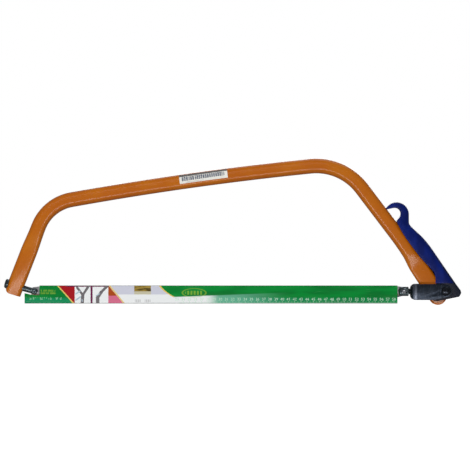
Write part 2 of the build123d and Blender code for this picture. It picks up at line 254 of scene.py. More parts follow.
def srgb(red: int, green: int, blue: int) -> Colour:
    """Linear colour from the three numbers of a swatch, each 0 to 255.

    Args:
        red: The swatch's red.
        green: Its green.
        blue: Its blue.

    Returns:
        The colour, fully opaque.
    """
    shares = [c / 255 for c in (red, green, blue)]
    linear = [c / 12.92 if c <= 0.04045 else ((c + 0.055) / 1.055) ** 2.4 for c in shares]
    return linear[0], linear[1], linear[2], 1.0


class Nodes:
    """A node tree that is being built."""

    def __init__(self, tree: bpy.types.NodeTree) -> None:
        """Hold the tree."""
        self.tree = tree

    def node(
        self, kind: str, settings: Optional[dict] = None, inputs: Optional[dict] = None
    ) -> bpy.types.ShaderNode:
        """Add one node.

        Args:
            kind: The node's type.
            settings: Its properties, which are set first.
            inputs: The values or links of its sockets, by name or place.

        Returns:
            The new node.
        """
        made = self.tree.nodes.new(kind)
        for key, value in (settings or {}).items():
            setattr(made, key, value)
        for key, value in (inputs or {}).items():
            self.feed(made.inputs[key], value)
        return made

    def feed(self, socket: Socket, value: object) -> None:
        """Link a wire or socket to an input, or set the input's own value.

        Args:
            socket: The input.
            value: A wire, a socket, or what the input is set to.
        """
        source = value.socket if isinstance(value, Wire) else value
        if isinstance(source, Socket):
            self.tree.links.new(source, socket)
        else:
            socket.default_value = source


class Recipe(Nodes):
    """The nodes of one material."""

    def __init__(self, name: str) -> None:
        """Start a material with one Principled shader.

        Args:
            name: The material's name.
        """
        self.material = bpy.data.materials.new(name)
        self.material.use_nodes = True
        super().__init__(self.material.node_tree)
        self.shader = self.tree.nodes["Principled BSDF"]

    def maths(self, operation: str, *values: Value) -> Wire:
        """One Math node."""
        inputs = dict(enumerate(values))
        return Wire(self, self.node("ShaderNodeMath", {"operation": operation}, inputs).outputs[0])

    def drawing(self, origin: Point = (0, 0), turn: float = 0) -> Socket:
        """Millimetres of the drawing, as a vector.

        Args:
            origin: The side-view point that becomes the origin.
            turn: The side-view direction that becomes x, in radians.

        Returns:
            The vector's socket.
        """
        rotation = Matrix.Rotation(turn, 3, "Y")
        place = -(rotation @ (DRAWING.pin / MM + Vector((origin[0], 0, origin[1]))))
        coordinates = self.node("ShaderNodeTexCoord").outputs["Object"]
        inputs = {"Vector": coordinates, "Location": place, "Rotation": (0, turn, 0), "Scale": (1 / MM,) * 3}
        return self.node("ShaderNodeMapping", None, inputs).outputs[0]

    def stretched(self, vector: Socket, scale: tuple[float, float, float]) -> Socket:
        """A vector with each axis scaled, which stretches a pattern along the small ones."""
        return self.node("ShaderNodeMapping", None, {"Vector": vector, "Scale": scale}).outputs[0]

    def axes(self, vector: Socket) -> tuple[Wire, Wire, Wire]:
        """The three numbers of a vector."""
        parts = self.node("ShaderNodeSeparateXYZ", None, {0: vector}).outputs
        return Wire(self, parts[0]), Wire(self, parts[1]), Wire(self, parts[2])

    def noise(self, vector: Socket, scale: float, detail: float = 2, rough: float = 0.5) -> Wire:
        """Cloudy value from 0 to 1, with scale lumps to a unit of the vector."""
        inputs = {"Vector": vector, "Scale": scale, "Detail": detail, "Roughness": rough}
        return Wire(self, self.node("ShaderNodeTexNoise", None, inputs).outputs[0])

    def cells(self, vector: Socket, scale: float) -> Wire:
        """Distance to the nearest of many scattered points, 0 at a point."""
        inputs = {"Vector": vector, "Scale": scale}
        return Wire(self, self.node("ShaderNodeTexVoronoi", None, inputs).outputs[0])

    def blend(self, share: Value, under: Paint, over: Paint) -> Socket:
        """Colour that goes from under, at a share of 0, to over, at 1."""
        settings = {"data_type": "RGBA", "clamp_factor": True}
        return self.node("ShaderNodeMix", settings, {0: share, 6: under, 7: over}).outputs[2]

    def coats(self, under: Paint, *coats: tuple[Value, Paint]) -> Socket:
        """Colour with coats over it.

        Args:
            under: The colour below them all.
            coats: Each coat's mask and colour, the lowest one first.

        Returns:
            The colour's socket.
        """
        for share, over in coats:
            under = self.blend(share, under, over)
        return under

    def shaded(self, colour: Paint, strength: Value) -> Socket:
        """Colour made lighter or darker by a varying number."""
        inputs = {0: colour, "Scale": strength}
        return self.node("ShaderNodeVectorMath", {"operation": "SCALE"}, inputs).outputs[0]

    def bump(self, height: Wire, depth: float, under: Optional[Socket] = None) -> Socket:
        """Normal of a rough surface.

        Args:
            height: Relief from 0 to 1.
            depth: What a height of 1 means, in millimetres.
            under: Another relief's normal, below this one.

        Returns:
            The normal's socket.
        """
        inputs = {"Height": height, "Distance": depth * MM, "Strength": 1.0}
        if under is not None:
            inputs["Normal"] = under
        return self.node("ShaderNodeBump", None, inputs).outputs[0]

    def stroke(self, x: Wire, z: Wire, start: Point, end: Point, width: float) -> Wire:
        """Mask of a straight stroke with round ends.

        Args:
            x: Place along the drawing's x.
            z: Place along its z.
            start: One end of the stroke.
            end: The other end.
            width: How wide it is.

        Returns:
            1 on the stroke, else 0.
        """
        run = (end[0] - start[0], end[1] - start[1])
        square = run[0] ** 2 + run[1] ** 2
        dx = x - start[0]
        dz = z - start[1]
        share = self.maths("MINIMUM", self.maths("MAXIMUM", (dx * run[0] + dz * run[1]) / square, 0), 1)
        off_x = dx - share * run[0]
        off_z = dz - share * run[1]
        return (off_x * off_x + off_z * off_z) < (width / 2) ** 2

    def edges(self, low: float, high: float) -> Wire:
        """Mask of outward edges, where a finish wears first."""
        sharp = Wire(self, self.node("ShaderNodeNewGeometry").outputs["Pointiness"])
        return sharp.rise(low, high)

    def surface(self, **sockets: object) -> None:
        """Feed the Principled shader's sockets, with _ for the spaces in their names."""
        for key, value in sockets.items():
            self.feed(self.shader.inputs[key.replace("_", " ")], value)


# ---- finishes ----


class Finish:
    """A surface finish that any number of pieces can share."""

    name: str

    def lay(self, recipe: Recipe) -> None:
        """Add the finish's nodes to a recipe."""
        raise NotImplementedError

    def material(self) -> bpy.types.Material:
        """The finish's material, made on its first use.

        Returns:
            The material.
        """
        made = bpy.data.materials.get(self.name)
        if made is None:
            recipe = Recipe(self.name)
            self.lay(recipe)
            made = recipe.material
        return made


@dataclass(frozen=True)
class StovedEnamel(Finish):
    """Stoved enamel on the bent tube, with a faint orange peel, rubs and a few chips."""

    name: str = "stoved_enamel"
    colour: Colour = srgb(188, 104, 2)
    thin: Colour = srgb(176, 86, 1)
    rubbed: Colour = srgb(206, 132, 44)
    primer: Colour = srgb(96, 72, 48)

    def lay(self, recipe: Recipe) -> None:
        """Add the enamel's nodes.

        Args:
            recipe: The material's recipe.
        """
        place = recipe.drawing()
        clouds = recipe.noise(place, 0.018, 3)
        mottle = recipe.noise(place, 0.35, 3)
        rubs = recipe.noise(recipe.stretched(place, (0.05, 1.4, 0.9)), 1.0, 4, 0.6).rise(0.62, 0.78)
        chips = (recipe.cells(place, 0.09) < 0.045) * (recipe.noise(place, 1.6, 2) > 0.45)
        thin = clouds.rise(0.3, 0.7) * 0.7
        colour = recipe.coats(self.colour, (thin, self.thin), (rubs * 0.22, self.rubbed))
        colour = recipe.shaded(colour, 0.93 + mottle * 0.14)
        colour = recipe.blend(chips * 0.8, colour, self.primer)
        peel = recipe.bump(recipe.noise(place, 0.55, 2), 0.05)
        normal = recipe.bump(1 - chips, 0.05, peel)
        rough = 0.19 + mottle * 0.08 + rubs * 0.14 + chips * 0.3
        recipe.surface(Base_Color=colour, Roughness=rough, Normal=normal, Specular_IOR_Level=0.5)


@dataclass(frozen=True)
class MouldedPlastic(Finish):
    """Satin navy plastic with a spark-eroded grain and rubs on the crowns."""

    name: str = "moulded_plastic"
    colour: Colour = srgb(7, 30, 112)
    deep: Colour = srgb(3, 20, 88)
    rubbed: Colour = srgb(36, 58, 130)

    def lay(self, recipe: Recipe) -> None:
        """Add the plastic's nodes.

        Args:
            recipe: The material's recipe.
        """
        place = recipe.drawing()
        flow = recipe.noise(recipe.stretched(place, (0.6, 1, 0.25)), 0.12, 3)
        rubs = recipe.noise(recipe.stretched(place, (1.2, 1, 0.12)), 1.1, 4, 0.6).rise(0.6, 0.75)
        grain = recipe.noise(place, 2.6, 2, 0.6)
        worn = rubs * 0.14 + recipe.edges(0.52, 0.6) * 0.25
        colour = recipe.coats(self.colour, (flow.rise(0.3, 0.7), self.deep), (worn, self.rubbed))
        normal = recipe.bump(grain, 0.03, recipe.bump(recipe.noise(place, 0.16, 1), 0.25))
        rough = 0.3 + grain * 0.1 + rubs * 0.12
        recipe.surface(Base_Color=colour, Roughness=rough, Normal=normal, Specular_IOR_Level=0.2)


@dataclass(frozen=True)
class PlatedSteel(Finish):
    """Plated or blackened steel, dulled in patches, with fine turning lines and some grime."""

    name: str = "zinc_plate"
    bright: Colour = srgb(158, 162, 168)
    dull: Colour = srgb(110, 112, 112)
    tint: Colour = srgb(112, 126, 152)
    grime: Colour = srgb(36, 34, 32)

    def lay(self, recipe: Recipe) -> None:
        """Add the plating's nodes.

        Args:
            recipe: The material's recipe.
        """
        place = recipe.drawing()
        patches = recipe.noise(place, 0.28, 4, 0.6)
        tints = recipe.noise(place, 0.09, 2)
        fine = recipe.noise(recipe.stretched(place, (7, 0.6, 0.6)), 1.0, 3)
        dirt = recipe.noise(place, 0.5, 5, 0.65).rise(0.52, 0.72)
        colour = recipe.coats(
            self.bright,
            (patches.rise(0.35, 0.7), self.dull),
            (tints.rise(0.45, 0.75) * 0.5, self.tint),
            (dirt * 0.55, self.grime),
        )
        normal = recipe.bump(fine, 0.008, recipe.bump(patches, 0.03))
        rough = 0.2 + patches * 0.14 + dirt * 0.25
        recipe.surface(Base_Color=colour, Metallic=1 - dirt * 0.5, Roughness=rough, Normal=normal)


BRIGHT_ZINC = PlatedSteel()
DARK_ZINC = PlatedSteel(
    "dark_zinc", srgb(112, 126, 132), srgb(62, 70, 72), srgb(78, 94, 104), srgb(22, 24, 24)
)
BLACK_OXIDE = PlatedSteel(
    "black_oxide", srgb(66, 70, 78), srgb(38, 40, 46), srgb(48, 56, 70), srgb(20, 18, 18)
)


@dataclass(frozen=True)
class PressedSteel(Finish):
    """Dark passivated strip steel, with lines from its rolling, marks from the press, and a painted
    highlight along its fold.

    Attributes:
        fold_at: Where the strap's fold is along the side view, where a pale band is painted as the bend's
            highlight.
    """

    name: str = "pressed_strip"
    base: Colour = srgb(48, 60, 76)
    dark: Colour = srgb(22, 31, 43)
    # pale: bare steel of worn edges and press marks, also laid as a painted highlight along the fold
    pale: Colour = srgb(134, 142, 158)
    fold_at: float = 613.5

    def lay(self, recipe: Recipe) -> None:
        """Add the strip's nodes.

        Args:
            recipe: The material's recipe.
        """
        place = recipe.drawing()
        rolled = recipe.noise(recipe.stretched(place, (0.12, 1, 2.4)), 1.2, 4, 0.6)
        patches = recipe.noise(place, 0.16, 4, 0.6)
        marks = recipe.noise(recipe.stretched(place, (1.5, 0.4, 0.12)), 0.8, 3).rise(0.58, 0.7)
        x, _, _ = recipe.axes(place)
        # A pale band across the fold: a painted highlight where the bend would catch the light.
        fold = x.rise(self.fold_at - 2, self.fold_at) * (1 - x.rise(self.fold_at + 2, self.fold_at + 4))
        # worn holds real wear at the edges and press marks, plus the painted fold highlight.
        worn = marks * 0.3 + recipe.edges(0.51, 0.58) * 0.5 | fold * 0.8
        colour = recipe.coats(self.base, (patches.rise(0.3, 0.65), self.dark), (worn, self.pale))
        normal = recipe.bump(rolled, 0.012, recipe.bump(patches, 0.05))
        rough = 0.3 + rolled * 0.16 + marks * 0.1
        recipe.surface(Base_Color=colour, Metallic=1.0, Roughness=rough, Normal=normal)


@dataclass(frozen=True)
class PaintedSteel(Finish):
    """Dark blue-grey paint on the folded channel, worn to steel along its edges."""

    name: str = "channel_paint"
    colour: Colour = srgb(12, 17, 36)
    cloudy: Colour = srgb(20, 26, 42)
    steel: Colour = srgb(96, 98, 104)

    def lay(self, recipe: Recipe) -> None:
        """Add the paint's nodes.

        Args:
            recipe: The material's recipe.
        """
        place = recipe.drawing()
        clouds = recipe.noise(place, 0.1, 3)
        specks = recipe.noise(place, 1.3, 4, 0.65)
        worn = (recipe.edges(0.53, 0.62) * specks.rise(0.42, 0.6)) | specks.rise(0.74, 0.78)
        colour = recipe.coats(self.colour, (clouds.rise(0.3, 0.7), self.cloudy), (worn * 0.8, self.steel))
        normal = recipe.bump(1 - worn, 0.04, recipe.bump(recipe.noise(place, 0.7, 2), 0.06))
        rough = 0.3 + clouds * 0.12 + worn * 0.15
        recipe.surface(
            Base_Color=colour, Metallic=worn, Roughness=rough, Normal=normal, Specular_IOR_Level=0.22
        )


@dataclass(frozen=True)
class BladeSteel(Finish):
    """Oiled strip steel with a ground face, and a blued band where the teeth were hardened.

    Attributes:
        band_from: Height at which the blued band starts.
        band_to: Height below which it is at its full strength.
        tips_below: Height below which the teeth are ground bright.
    """

    name: str = "blade_strip"
    steel: Colour = srgb(168, 170, 174)
    stained: Colour = srgb(126, 118, 104)
    blued: Colour = srgb(54, 60, 88)
    straw: Colour = srgb(150, 112, 66)
    ground: Colour = srgb(214, 216, 220)
    band_from: float = -3.0
    band_to: float = -7.5
    tips_below: float = -9.2

    def lay(self, recipe: Recipe) -> None:
        """Add the blade's nodes.

        Args:
            recipe: The material's recipe.
        """
        place = recipe.drawing()
        _, _, z = recipe.axes(place)
        lines = recipe.noise(recipe.stretched(place, (0.02, 1, 5)), 1.0, 4, 0.6)
        stains = recipe.noise(place, 0.08, 5, 0.65).rise(0.5, 0.75)
        wander = recipe.noise(place, 0.06, 2) * 2.4 - 1.2
        band = 1 - (z + wander).rise(self.band_to, self.band_from)
        fringe = band * (1 - band) * 4
        tips = 1 - z.rise(self.tips_below - 0.8, self.tips_below)
        hatch = recipe.noise(recipe.stretched(place, (6, 1, 2.5)), 1.0, 2)
        colour = recipe.coats(
            self.steel,
            (stains * 0.6, self.stained),
            (band * 0.85, self.blued),
            (fringe * 0.5, self.straw),
            (tips * 0.8, self.ground),
        )
        normal = recipe.bump(lines * (1 - tips) + hatch * tips, 0.02)
        rough = 0.26 + lines * 0.14 + stains * 0.2
        recipe.surface(Base_Color=colour, Metallic=1.0, Roughness=rough, Normal=normal)


@dataclass(frozen=True)
class LabelPaper(Finish):
    """White label paper with a dark rule and a row of plain bars, scuffed at its edges.

    Attributes:
        corner: The label's lower front corner on the side view.
        turn: Direction of its long edge, in radians.
        length: How long it is.
        height: How high it is.
        strip: Height of the dark strip along its top.
    """

    corner: Point
    turn: float
    length: float
    height: float
    strip: float = 3.1
    name: str = "label_paper"
    paper: Colour = srgb(236, 236, 230)
    aged: Colour = srgb(214, 212, 200)
    ink: Colour = srgb(88, 96, 114)
    rule: Colour = srgb(58, 54, 56)

    def lay(self, recipe: Recipe) -> None:
        """Add the label's nodes.

        Args:
            recipe: The material's recipe.
        """
        place = recipe.drawing(self.corner, self.turn)
        u, _, w = recipe.axes(place)
        fibres = recipe.noise(place, 3.0, 3)
        row = w.between(self.height * 0.28, self.height * 0.74) * u.between(4, self.length - 5)
        lengths = recipe.noise(recipe.stretched(place, (1, 0, 0)), 0.42, 0)
        gaps = ((u % 3.4) > 0.7) * (lengths > 0.3)
        small = w.between(self.height * 0.07, self.height * 0.14) * u.between(10, self.length * 0.5)
        worn = recipe.noise(place, 0.7, 4, 0.6).rise(0.42, 0.5)
        colour = recipe.coats(
            self.paper,
            (recipe.noise(place, 0.1, 3).rise(0.4, 0.8) * 0.6, self.aged),
            (row * gaps * (0.7 + worn * 0.3), self.ink),
            (small * ((u % 2.1) > 0.5) * 0.45, self.ink),
            ((w > self.height - self.strip) * 0.9, self.rule),
        )
        normal = recipe.bump(fibres, 0.02, recipe.bump(recipe.noise(place, 0.12, 1), 0.12))
        recipe.surface(Base_Color=colour, Roughness=0.42 + fibres * 0.14, Normal=normal)


@dataclass(frozen=True)
class PrintedSleeve(Finish):
    """Glossy printed board of the blade guard, white inside, with rubs along its fold.

    The print has a green ground, a red corner behind a gold line, two panels of cut branches, a
    picture box on pale card, and a ruler along the bottom edge.

    Attributes:
        top: Height of the guard's open edge.
        bottom: Height of its fold.
        inside: Half the gap inside it.
        letters: Where the two rows of letters start and end.
        words: Where the line of small words starts and ends.
        slant: Where the gold line of the red corner meets the open edge.
        panels: Where the two panels start and end.
        rule: Where the plum rule between them starts and ends.
        wedge: Where the brown and pink wedge starts and ends.
        lean: How far the wedge's edge moves along for each millimetre down.
        picture: Where the picture box starts and ends.
        curve: Where the card's curved edge meets the open edge.
        seal: The oval's middle.
        ruler: Where the ruler starts and ends.
        branch: The cut branches, as strokes with a start, an end and a width.
        cuts: The sawn ends of the branches, as strokes.
    """

    top: float
    bottom: float
    inside: float
    letters: Point = (10, 34)
    words: Point = (-13, 46)
    slant: float = 36
    panels: Point = (65, 198)
    rule: Point = (90.5, 93.8)
    wedge: Point = (119.2, 160)
    lean: float = 0.82
    picture: Point = (161, 188)
    curve: float = 200.5
    seal: Point = (257.7, -2.4)
    ruler: Point = (232, 584)
    name: str = "printed_board"
    green: Colour = srgb(2, 136, 52)
    deep: Colour = srgb(0, 116, 44)
    teal: Colour = srgb(16, 146, 108)
    gold: Colour = srgb(226, 196, 104)
    red: Colour = srgb(164, 20, 30)
    plum: Colour = srgb(104, 34, 74)
    card: Colour = srgb(236, 240, 242)
    lilac: Colour = srgb(198, 200, 218)
    bark: Colour = srgb(112, 108, 112)
    cut: Colour = srgb(176, 196, 210)
    brown: Colour = srgb(170, 74, 24)
    pink: Colour = srgb(212, 108, 140)
    olive: Colour = srgb(78, 66, 30)
    straw: Colour = srgb(196, 190, 150)
    ochre: Colour = srgb(176, 148, 66)
    lime: Colour = srgb(150, 190, 60)
    mint: Colour = srgb(176, 222, 192)
    foam: Colour = srgb(128, 200, 176)
    # edge: dark green laid as painted shade along the open top edge and the fold
    edge: Colour = srgb(22, 66, 40)
    board: Colour = srgb(228, 226, 216)
    branch: tuple[Stroke, ...] = (
        ((77, -20), (78, -6), 5.2),
        ((78, -6), (69, 6), 3.8),
        ((78, -6), (87, 8), 3.8),
        ((102, -20), (102, -10), 5.6),
        ((102, -10), (108, -1), 5.0),
        ((108, -1), (117, 8), 4.2),
    )
    cuts: tuple[Stroke, ...] = (
        ((67, -14), (74, -9), 2.6),
        ((67, -4), (73, 0), 2.4),
        ((100, -7), (105, -4), 1.6),
        ((77, -13), (77, -16), 1.6),
    )

    def lay(self, recipe: Recipe) -> None:
        """Add the print's nodes.

        Args:
            recipe: The material's recipe.
        """
        place = recipe.drawing()
        x, y, z = recipe.axes(place)
        colour = self._ground(recipe, place, x, z)
        colour = self._corner(recipe, x, z, colour)
        colour = self._panels(recipe, x, z, colour)
        colour = self._card(recipe, place, x, z, colour)
        colour = self._ruler(recipe, x, z, colour)
        rubs = recipe.noise(recipe.stretched(place, (0.3, 1, 1)), 0.9, 4, 0.6)
        worn = rubs.rise(0.5, 0.62) * (1 - z.rise(self.bottom + 0.1, self.bottom + 0.8))
        scratch = recipe.noise(recipe.stretched(place, (0.04, 1, 2.2)), 1.0, 4, 0.6).rise(0.66, 0.74)
        hidden = (abs(y) < self.inside + 0.25) * (z > self.bottom + 1.0)
        colour = recipe.coats(colour, (worn * 0.7 + scratch * 0.16, self.card), (hidden, self.board))
        waves = recipe.noise(recipe.stretched(place, (0.25, 1, 1)), 0.05, 2)
        normal = recipe.bump(recipe.noise(place, 1.4, 2), 0.012, recipe.bump(waves, 1.2))
        rough = 0.2 + rubs * 0.1 + worn * 0.3 + hidden * 0.3
        recipe.surface(Base_Color=colour, Roughness=rough, Normal=normal, Specular_IOR_Level=0.2)

    def _ground(self, recipe: Recipe, place: Socket, x: Wire, z: Wire) -> Socket:
        """Green ground, deeper in clouds and paler under the ruler, with plain rows for words.

        Args:
            recipe: The material's recipe.
            place: Millimetres of the drawing.
            x: Place along the drawing's x.
            z: Place along its z.

        Returns:
            The print's ground.
        """
        clouds = recipe.noise(recipe.stretched(place, (0.2, 1, 1)), 0.09, 2)
        pale = (1 - z.rise(-13, -8)) * (1 - x.rise(330, 520) * 0.55)
        rows = (z.between(-4.4, -1.6) | z.between(-0.4, 2.6)) * x.between(*self.letters)
        letters = recipe.noise(recipe.stretched(place, (1, 0, 0.2)), 0.5, 0) > 0.42
        line = z.between(-13.6, -9.4) * x.between(*self.words)
        words = recipe.noise(recipe.stretched(place, (1, 0, 0.3)), 0.34, 1) > 0.53
        return recipe.coats(
            self.green,
            (clouds.rise(0.35, 0.65), self.deep),
            (pale * 0.55, self.teal),
            (rows * letters * 0.42, self.lime),
            (line * words * 0.4, self.mint),
        )

    def _corner(self, recipe: Recipe, x: Wire, z: Wire, colour: Socket) -> Socket:
        """Red corner behind a slanting gold line.

        Args:
            recipe: The material's recipe.
            x: Place along the drawing's x.
            z: Place along its z.
            colour: The print so far.

        Returns:
            The print with this part over it.
        """
        slant = x - (self.slant + (self.top - z) * 0.9)
        behind = (slant > 0) * (x < self.panels[1])
        return recipe.coats(colour, (behind, self.red), (slant.between(0, 2.6), self.gold))

    def _panels(self, recipe: Recipe, x: Wire, z: Wire, colour: Socket) -> Socket:
        """Two pale panels with cut branches, plum rules and a brown and pink wedge.

        Args:
            recipe: The material's recipe.
            x: Place along the drawing's x.
            z: Place along its z.
            colour: The print so far.

        Returns:
            The print with this part over it.
        """
        leant = x - (self.top - z) * self.lean
        wedge = x.between(*self.wedge)
        both = wedge * (leant < 119.5)
        colour = recipe.coats(
            colour,
            (x.between(*self.panels), self.card),
            (both, self.brown),
            (both * (z < -7), self.pink),
            (wedge * (abs(leant - 121) < 1.4) * 0.9, self.gold),
            (x.between(*self.rule) | (z > self.top - 2) * x.between(52, 120), self.plum),
        )
        for strokes, tone in ((self.branch, self.bark), (self.cuts, self.cut)):
            for start, end, width in strokes:
                colour = recipe.blend(recipe.stroke(x, z, start, end, width), colour, tone)
        return colour

    def _card(self, recipe: Recipe, place: Socket, x: Wire, z: Wire, colour: Socket) -> Socket:
        """Pale card with a picture box, and the curved edge where the green starts again.

        Args:
            recipe: The material's recipe.
            place: Millimetres of the drawing.
            x: Place along the drawing's x.
            z: Place along its z.
            colour: The print so far.

        Returns:
            The print with this part over it.
        """
        drop = self.top - z
        curve = x - (self.curve + drop * 0.6 + drop * drop * 0.035)
        card = ((x - drop * self.lean) > 122.4) * (curve < 0) * (x < 250)
        box = x.between(*self.picture)
        sky = recipe.noise(recipe.stretched(place, (0.3, 1, 1.8)), 0.25, 3).rise(0.4, 0.62)
        sides = x.between(162, 171.5) | x.between(178, 187.5)
        caption = sides * z.between(-17.6, -13) * ((x % 3.2) > 0.9)
        skirt = curve.rise(-1, 0) * (1 - (z - (x - 222) * 0.04).rise(-10.4, -8.4))
        colour = recipe.coats(
            colour,
            (card, self.card),
            (card * (z > -5) * 0.85, self.lilac),
            (box * (z > 0), recipe.blend(sky * 0.8, self.olive, self.ochre)),
            (box * z.between(-5, 0) * 0.8, self.straw),
            (caption * 0.4, self.bark),
            (skirt * (1 - x.rise(300, 420)) * 0.6, self.foam),
            (skirt * (1 - x.rise(276, 300)), self.card),
            (curve.between(0, 3.2) * (z > -9), self.gold),
        )
        along = x - self.seal[0]
        up = z - self.seal[1]
        from_middle = (along * along / 380 + up * up / 50).root()
        bars = (from_middle < 0.76) * ((x % 5.2) > 2.2) * z.between(-5.6, 0.8)
        return recipe.coats(
            colour, (from_middle.between(0.9, 1.04) * 0.5, self.lime), (bars * 0.6, self.lime)
        )

    def _ruler(self, recipe: Recipe, x: Wire, z: Wire, colour: Socket) -> Socket:
        """Ruler ticks on the bottom edge, and painted shade along the open top edge and the fold.

        Args:
            recipe: The material's recipe.
            x: Place along the drawing's x.
            z: Place along its z.
            colour: The print so far.

        Returns:
            The print with this part over it.
        """
        tens, fives, ones = (
            (abs((x + pitch / 2) % pitch - pitch / 2) < half) * (z < self.bottom + height)
            for pitch, half, height in ((10, 0.4, 4.2), (5, 0.3, 3.0), (1, 0.16, 2.0))
        )
        ticks = (tens | fives | ones) * x.between(*self.ruler)
        # Dark bands at the open top edge and at the fold are painted shade, not printed rules.
        ends = (z > self.top - 0.7) | (z < self.bottom + 0.9)
        return recipe.coats(colour, (ticks * 0.75, self.mint), (ends * 0.6, self.edge))


@dataclass(frozen=True)
class NumberInk(Finish):
    """Pale ink of the ruler's numbers, a little rubbed away."""

    name: str = "number_ink"
    ink: Colour = srgb(196, 232, 208)
    rubbed: Colour = srgb(92, 174, 124)

    def lay(self, recipe: Recipe) -> None:
        """Add the ink's nodes.

        Args:
            recipe: The material's recipe.
        """
        place = recipe.drawing()
        worn = recipe.noise(place, 0.9, 4, 0.6).rise(0.5, 0.75)
        colour = recipe.blend(worn, self.ink, self.rubbed)
        recipe.surface(Base_Color=colour, Roughness=0.34 + worn * 0.2, Normal=recipe.bump(worn, 0.01))


# ---- making pieces ----


def put(
    bm: Shape, name: str, body: Body, finish: Finish,
    stands_for: Iterable[str] = (), sharp: float = 35, levels: int = 0, in_frame: bool = False,
) -> Piece:
    """Turn a finished bmesh into a piece of the saw.

    Args:
        bm: The shape, which is freed.
        name: The piece's name.
        body: The body it rides on.
        finish: Its finish.
        stands_for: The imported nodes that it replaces.
        sharp: Edges that turn by more than this stay sharp, in degrees.
        levels: Levels of subdivision.
        in_frame: True where the shape is already in the frame's metres.

    Returns:
        The piece.
    """
    if not in_frame:
        bmesh.ops.transform(bm, matrix=DRAWING.to_frame(), verts=bm.verts)
    mesh = bpy.data.meshes.new(name)
    bm.to_mesh(mesh)
    bm.free()
    mesh.shade_smooth()
    mesh.set_sharp_from_angle(angle=radians(sharp))
    mesh.materials.append(finish.material())
    piece = bpy.data.objects.new(name, mesh)
    bpy.context.scene.collection.objects.link(piece)
    if levels:
        smooth = piece.modifiers.new("smooth", "SUBSURF")
        smooth.levels = levels
        smooth.render_levels = levels
    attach(piece, body.value)
    if stands_for:
        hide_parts(*stands_for)
    log.info("%s rides on %s, with %d faces", name, body.value, len(mesh.polygons))
    return piece


def merged_copy(node: str) -> Shape:
    """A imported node's shape with its loose triangles joined into whole faces.

    Args:
        node: The node's name.

    Returns:
        The shape, in the frame's metres.
    """
    bm = bmesh.new()
    bm.from_mesh(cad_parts[node].data)
    bmesh.ops.remove_doubles(bm, verts=bm.verts, dist=COPY_JOIN * MM)
    bmesh.ops.dissolve_limit(bm, angle_limit=radians(FLAT_TURN), verts=bm.verts, edges=bm.edges)
    return bm


def soften(bm: Shape, radius: float, sharp: float) -> None:
    """Round a shape's sharp edges.

    Args:
        bm: The shape.
        radius: How far the rounding reaches, in the shape's own units.
        sharp: The least turn of an edge that is rounded, in degrees.
    """
    edges = [e for e in bm.edges if len(e.link_faces) == 2 and e.calc_face_angle() > radians(sharp)]
    bmesh.ops.bevel(bm, geom=edges, offset=radius, affect="EDGES", segments=2, profile=0.5, material=-1)


def softened_copy(node: str, radius: float) -> Shape:
    """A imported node's shape with its sharp edges rounded.

    Args:
        node: The node's name.
        radius: How far the rounding reaches, in millimetres.

    Returns:
        The shape, in the frame's metres.
    """
    bm = merged_copy(node)
    soften(bm, radius * MM, SHARP_TURN)
    return bm


def turned(
    profiles: Iterable[list[Point]], centre: Vector, axis: Vector = Y_AXIS, steps: int = 48
) -> Shape:
    """Shape turned from profiles about one axis, with its seams and poles joined.

    Args:
        profiles: Each one's points (radius, place along the axis), in millimetres.
        centre: The axis's origin on the drawing.
        axis: Its direction, along x or y.
        steps: Faces round the axis.

    Returns:
        The shape, in the drawing's millimetres.
    """
    bm = bmesh.new()
    for profile in profiles:
        verts = [bm.verts.new(centre + UP * radius + axis * along) for radius, along in profile]
        edges = [bm.edges.new(pair) for pair in zip(verts, verts[1:])]
        bmesh.ops.spin(
            bm, geom=verts + edges, cent=centre, axis=axis, angle=2 * pi, steps=steps, use_merge=True
        )
    bmesh.ops.remove_doubles(bm, verts=bm.verts, dist=JOIN)
    bmesh.ops.dissolve_degenerate(bm, edges=bm.edges, dist=JOIN)
    bmesh.ops.recalc_face_normals(bm, faces=bm.faces)
    return bm


def verts_in(made: Iterable[object]) -> list[bmesh.types.BMVert]:
    """The vertices among an operator's new geometry."""
    return [part for part in made if isinstance(part, bmesh.types.BMVert)]


def whole(bm: Shape) -> list[object]:
    """All of a shape's vertices, edges and faces."""
    return bm.verts[:] + bm.edges[:] + bm.faces[:]


